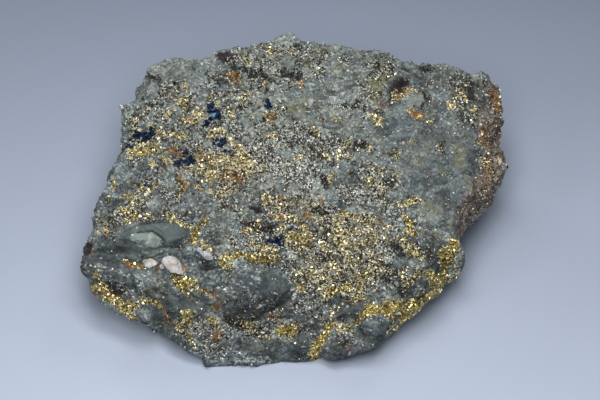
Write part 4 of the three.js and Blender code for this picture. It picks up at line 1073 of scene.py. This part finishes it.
def join_shapes(name, shapes, faces, tones, finish):
    """One mesh of many shapes that share the same triangles, each with a tone of its own."""
    count, size = shapes.shape[:2]
    triangles = (faces[None] + size * np.arange(count)[:, None, None]).reshape(-1, 3)
    mesh = bpy.data.meshes.new(name)
    mesh.vertices.add(count * size)
    mesh.vertices.foreach_set("co", (shapes * MM).ravel())
    mesh.loops.add(3 * len(triangles))
    mesh.loops.foreach_set("vertex_index", triangles.ravel())
    mesh.polygons.add(len(triangles))
    mesh.polygons.foreach_set("loop_start", np.arange(0, 3 * len(triangles), 3))
    mesh.update(calc_edges=True)
    mesh.shade_flat()
    piece = bpy.data.objects.new(name, mesh)
    bpy.context.scene.collection.objects.link(piece)
    add_layer(piece, "tone", np.repeat(tones, size))
    mesh.materials.append(finish)
    return piece


def make_grains(name, shape, rock, chance, count, sizes, finish, flat=False):
    """Grains sown over the rock, each turned at random and half sunk in it."""
    base, faces = shape
    seats, normals, layers = sow(rock, chance, count)
    turns = laid_flat(normals) if flat else rotations(count)
    stretch = RANDOM.uniform(0.6, 1.3, (count, 1, 3))
    turned = np.einsum("nij,nkj->nki", turns, base * stretch)
    points = turned * RANDOM.uniform(*sizes, (count, 1, 1)) + seats[:, None, :]
    piece = join_shapes(name, within_box(points), faces, RANDOM.random(count), finish)
    for layer_name, values in layers.items():
        add_layer(piece, layer_name, np.repeat(values, len(base)))
    return piece


def seat_under(rock, x, y):
    """The highest point of the rock near x, y, and the rock's normal there."""
    points = vertices_of(rock)
    near = np.linalg.norm(points[:, :2] - (x, y), axis=1) < SEAT_REACH
    best = np.nonzero(near)[0][points[near, 2].argmax()]
    return points[best], normals_of(rock)[best]


def make_quartz(rock):
    """Broken pieces of quartz, half sunk in the rock."""
    bpy.ops.object.select_all(action="DESELECT")
    bpy.ops.mesh.primitive_ico_sphere_add(subdivisions=3, radius=0.5)
    ball, faces = taken_apart(bpy.context.object)
    lumps = []
    for x, y, length, width, depth, turn, _ in QUARTZ:
        seat, normal = seat_under(rock, x, y)
        up = Vector(normal)
        along = Vector((math.cos(math.radians(turn)), math.sin(math.radians(turn)), 0))
        across = up.cross(along).normalized()
        axes = np.array([across.cross(up)[:], across[:], up[:]])
        lump = ball
        for facing in laid_flat(RANDOM.normal(size=(QUARTZ_FACES, 3)))[:, :, 2]:
            beyond = np.maximum(lump @ facing - RANDOM.uniform(*QUARTZ_CUTS), 0)
            lump = lump - beyond[:, None] * facing
        size = QUARTZ_GROWTH * np.array((length, width, depth))
        lumps.append(seat + (lump * size) @ axes)
    tones = [tone for *_, tone in QUARTZ]
    return join_shapes("quartz", within_box(np.array(lumps)), faces, tones, quartz_finish())


# ---- Stage --------------------------------------------------------------------------------

CAMERA_TARGET = Vector((0.8, -0.2, 18))
CAMERA_DISTANCE = 560
CAMERA_HEIGHT = math.radians(50)
LENS = 117.6

FLOOR_SIDE = 4000
FLOOR_FADE_START = -70        # how far back the paper starts to darken
FLOOR_FADE_LENGTH = 180

# Name, place, width and power of each light. All of them point at the middle of the floor.
LIGHTS = [
    ("front", (0, -180, 290), 150, 0.485), ("overhead", (-10, -20, 360), 160, 0.44),
    ("right", (80, -60, 317), 90, 0.145), ("left", (-220, -170, 238), 110, 0.168),
    ("back_left", (-220, 300, 194), 150, 0.275), ("back_right", (110, 180, 275), 120, 0.11),
]
SKY_COLOUR = (0.8, 0.88, 1, 1)
SKY_STRENGTH = 0.07


def make_camera():
    data = bpy.data.cameras.new("camera")
    data.lens = LENS
    data.clip_start = 10 * MM
    camera = bpy.data.objects.new("camera", data)
    back = Vector((0, -math.cos(CAMERA_HEIGHT), math.sin(CAMERA_HEIGHT)))
    camera.location = (CAMERA_TARGET + CAMERA_DISTANCE * back) * MM
    camera.rotation_euler = (math.pi / 2 - CAMERA_HEIGHT, 0, 0)
    bpy.context.scene.collection.objects.link(camera)
    bpy.context.scene.camera = camera


def make_floor():
    """A sheet of pale paper that is darker toward the back."""
    bpy.ops.object.select_all(action="DESELECT")
    bpy.ops.mesh.primitive_plane_add(size=FLOOR_SIDE * MM, location=(0, 0, 0))
    floor = bpy.context.object
    floor.name = "floor"
    f = Finish("floor")
    _, away, _ = f.split(f.place(), "ShaderNodeSeparateXYZ")
    fade = (away - FLOOR_FADE_START * MM) / (FLOOR_FADE_LENGTH * MM)
    colour = f.mix(fade, (0.495, 0.56, 0.684), (0.24, 0.28, 0.367))
    floor.data.materials.append(f.done(base_color=colour, roughness=0.8))


def make_light(name, place, width, power):
    data = bpy.data.lights.new(name, "AREA")
    data.shape = "DISK"
    data.size = width * MM
    data.energy = power
    light = bpy.data.objects.new(name, data)
    light.location = Vector(place) * MM
    light.rotation_euler = (Vector() - Vector(place)).to_track_quat("-Z", "Y").to_euler()
    bpy.context.scene.collection.objects.link(light)


def make_stage():
    make_camera()
    make_floor()
    for light in LIGHTS:
        make_light(*light)
    world = bpy.data.worlds.new("studio")
    world.use_nodes = True
    sky = world.node_tree.nodes["Background"]
    sky.inputs["Color"].default_value = SKY_COLOUR
    sky.inputs["Strength"].default_value = SKY_STRENGTH
    bpy.context.scene.world = world
    bpy.context.scene.view_settings.view_transform = "Standard"


# ---- The specimen -------------------------------------------------------------------------

make_stage()
rock = make_rock()
thin_underside(rock)
layer = add_rock_layers(rock)
rock.data.materials.clear()
rock.data.materials.append(schist_finish())
only(rock)
bpy.ops.object.shade_smooth()

# What grains are made from: a sphenoid with its corners cut, a four-sided chip, a low flake.
crystal = cone_shape(3, 0.6, 0.85, corner_cut=24)
chip = cone_shape(3, 0.55, 0.75)
flake = cone_shape(5, 0.55, 0.4, top_radius=0.3)

# How likely grains are at each vertex of the rock.
upper = smoothstep(-0.2, 0.1, normals_of(rock)[:, 2])
bare = upper * (1 - layer["tarnish"])
broken = bare * (1 - 0.95 * layer["calm"]) * (1 - 0.7 * layer["rust"])
specks = layer["grainy"] ** 1.5
cluster = smoothstep(0.35, 0.7, layer["gold"] + 0.3 * swell(vertices_of(rock), 1.3, 5))
cluster = cluster * (1 - 0.9 * layer["rust"])
unstained = (1 - layer["soot"]) * (1 - layer["plum"]) * (1 - layer["crust"])

pieces = [
    rock,
    make_quartz(rock),
    make_grains(
        "schist_flakes", flake, rock,
        (specks * (1 - layer["gold"]) + 0.03) * broken * unstained,
        count=2600, sizes=(0.4, 1.1), finish=flake_finish(), flat=True,
    ),
    make_grains(
        "chalcopyrite_grains", crystal, rock,
        (cluster + layer["solid"] + 0.02 * specks + 0.02 * layer["crust"]) * bare,
        count=9500, sizes=(0.4, 0.95), finish=chalcopyrite_finish(),
    ),
    make_grains(
        "chalcopyrite_specks", chip, rock,
        (0.5 * cluster + 0.15 * specks + 0.06 * layer["crust"]) * bare,
        count=9000, sizes=(0.3, 0.65), finish=chalcopyrite_finish(),
    ),
    make_grains(
        "tarnished_grains", crystal, rock,
        layer["tarnish"] ** 3 * upper * (1 - layer["painted_highlight"]),
        count=400, sizes=(0.6, 1.5), finish=tarnish_finish(),
    ),
    make_grains(
        "pale_flecks", chip, rock,
        (0.18 * specks + 0.6 * layer["salt"] + 0.45 * cluster + 0.4 * layer["snow"]) * broken
        * (1 - 0.9 * layer["crust"]) * (1 - 0.85 * layer["deep"]) * (1 - layer["solid"]),
        count=10000, sizes=(0.3, 0.75), finish=pale_finish(), flat=True,
    ),
    make_grains(
        "dark_grains", chip, rock,
        (0.8 * specks + 0.9 * layer["salt"] + 0.35 * cluster + 2 * layer["soot"]) * broken
        * (1 - 0.7 * layer["crust"]) * (1 - 0.7 * layer["solid"]),
        count=16000, sizes=(0.3, 0.85), finish=dark_finish(),
    ),
]
for piece in pieces:
    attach(piece, "root")
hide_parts("ore_slab")
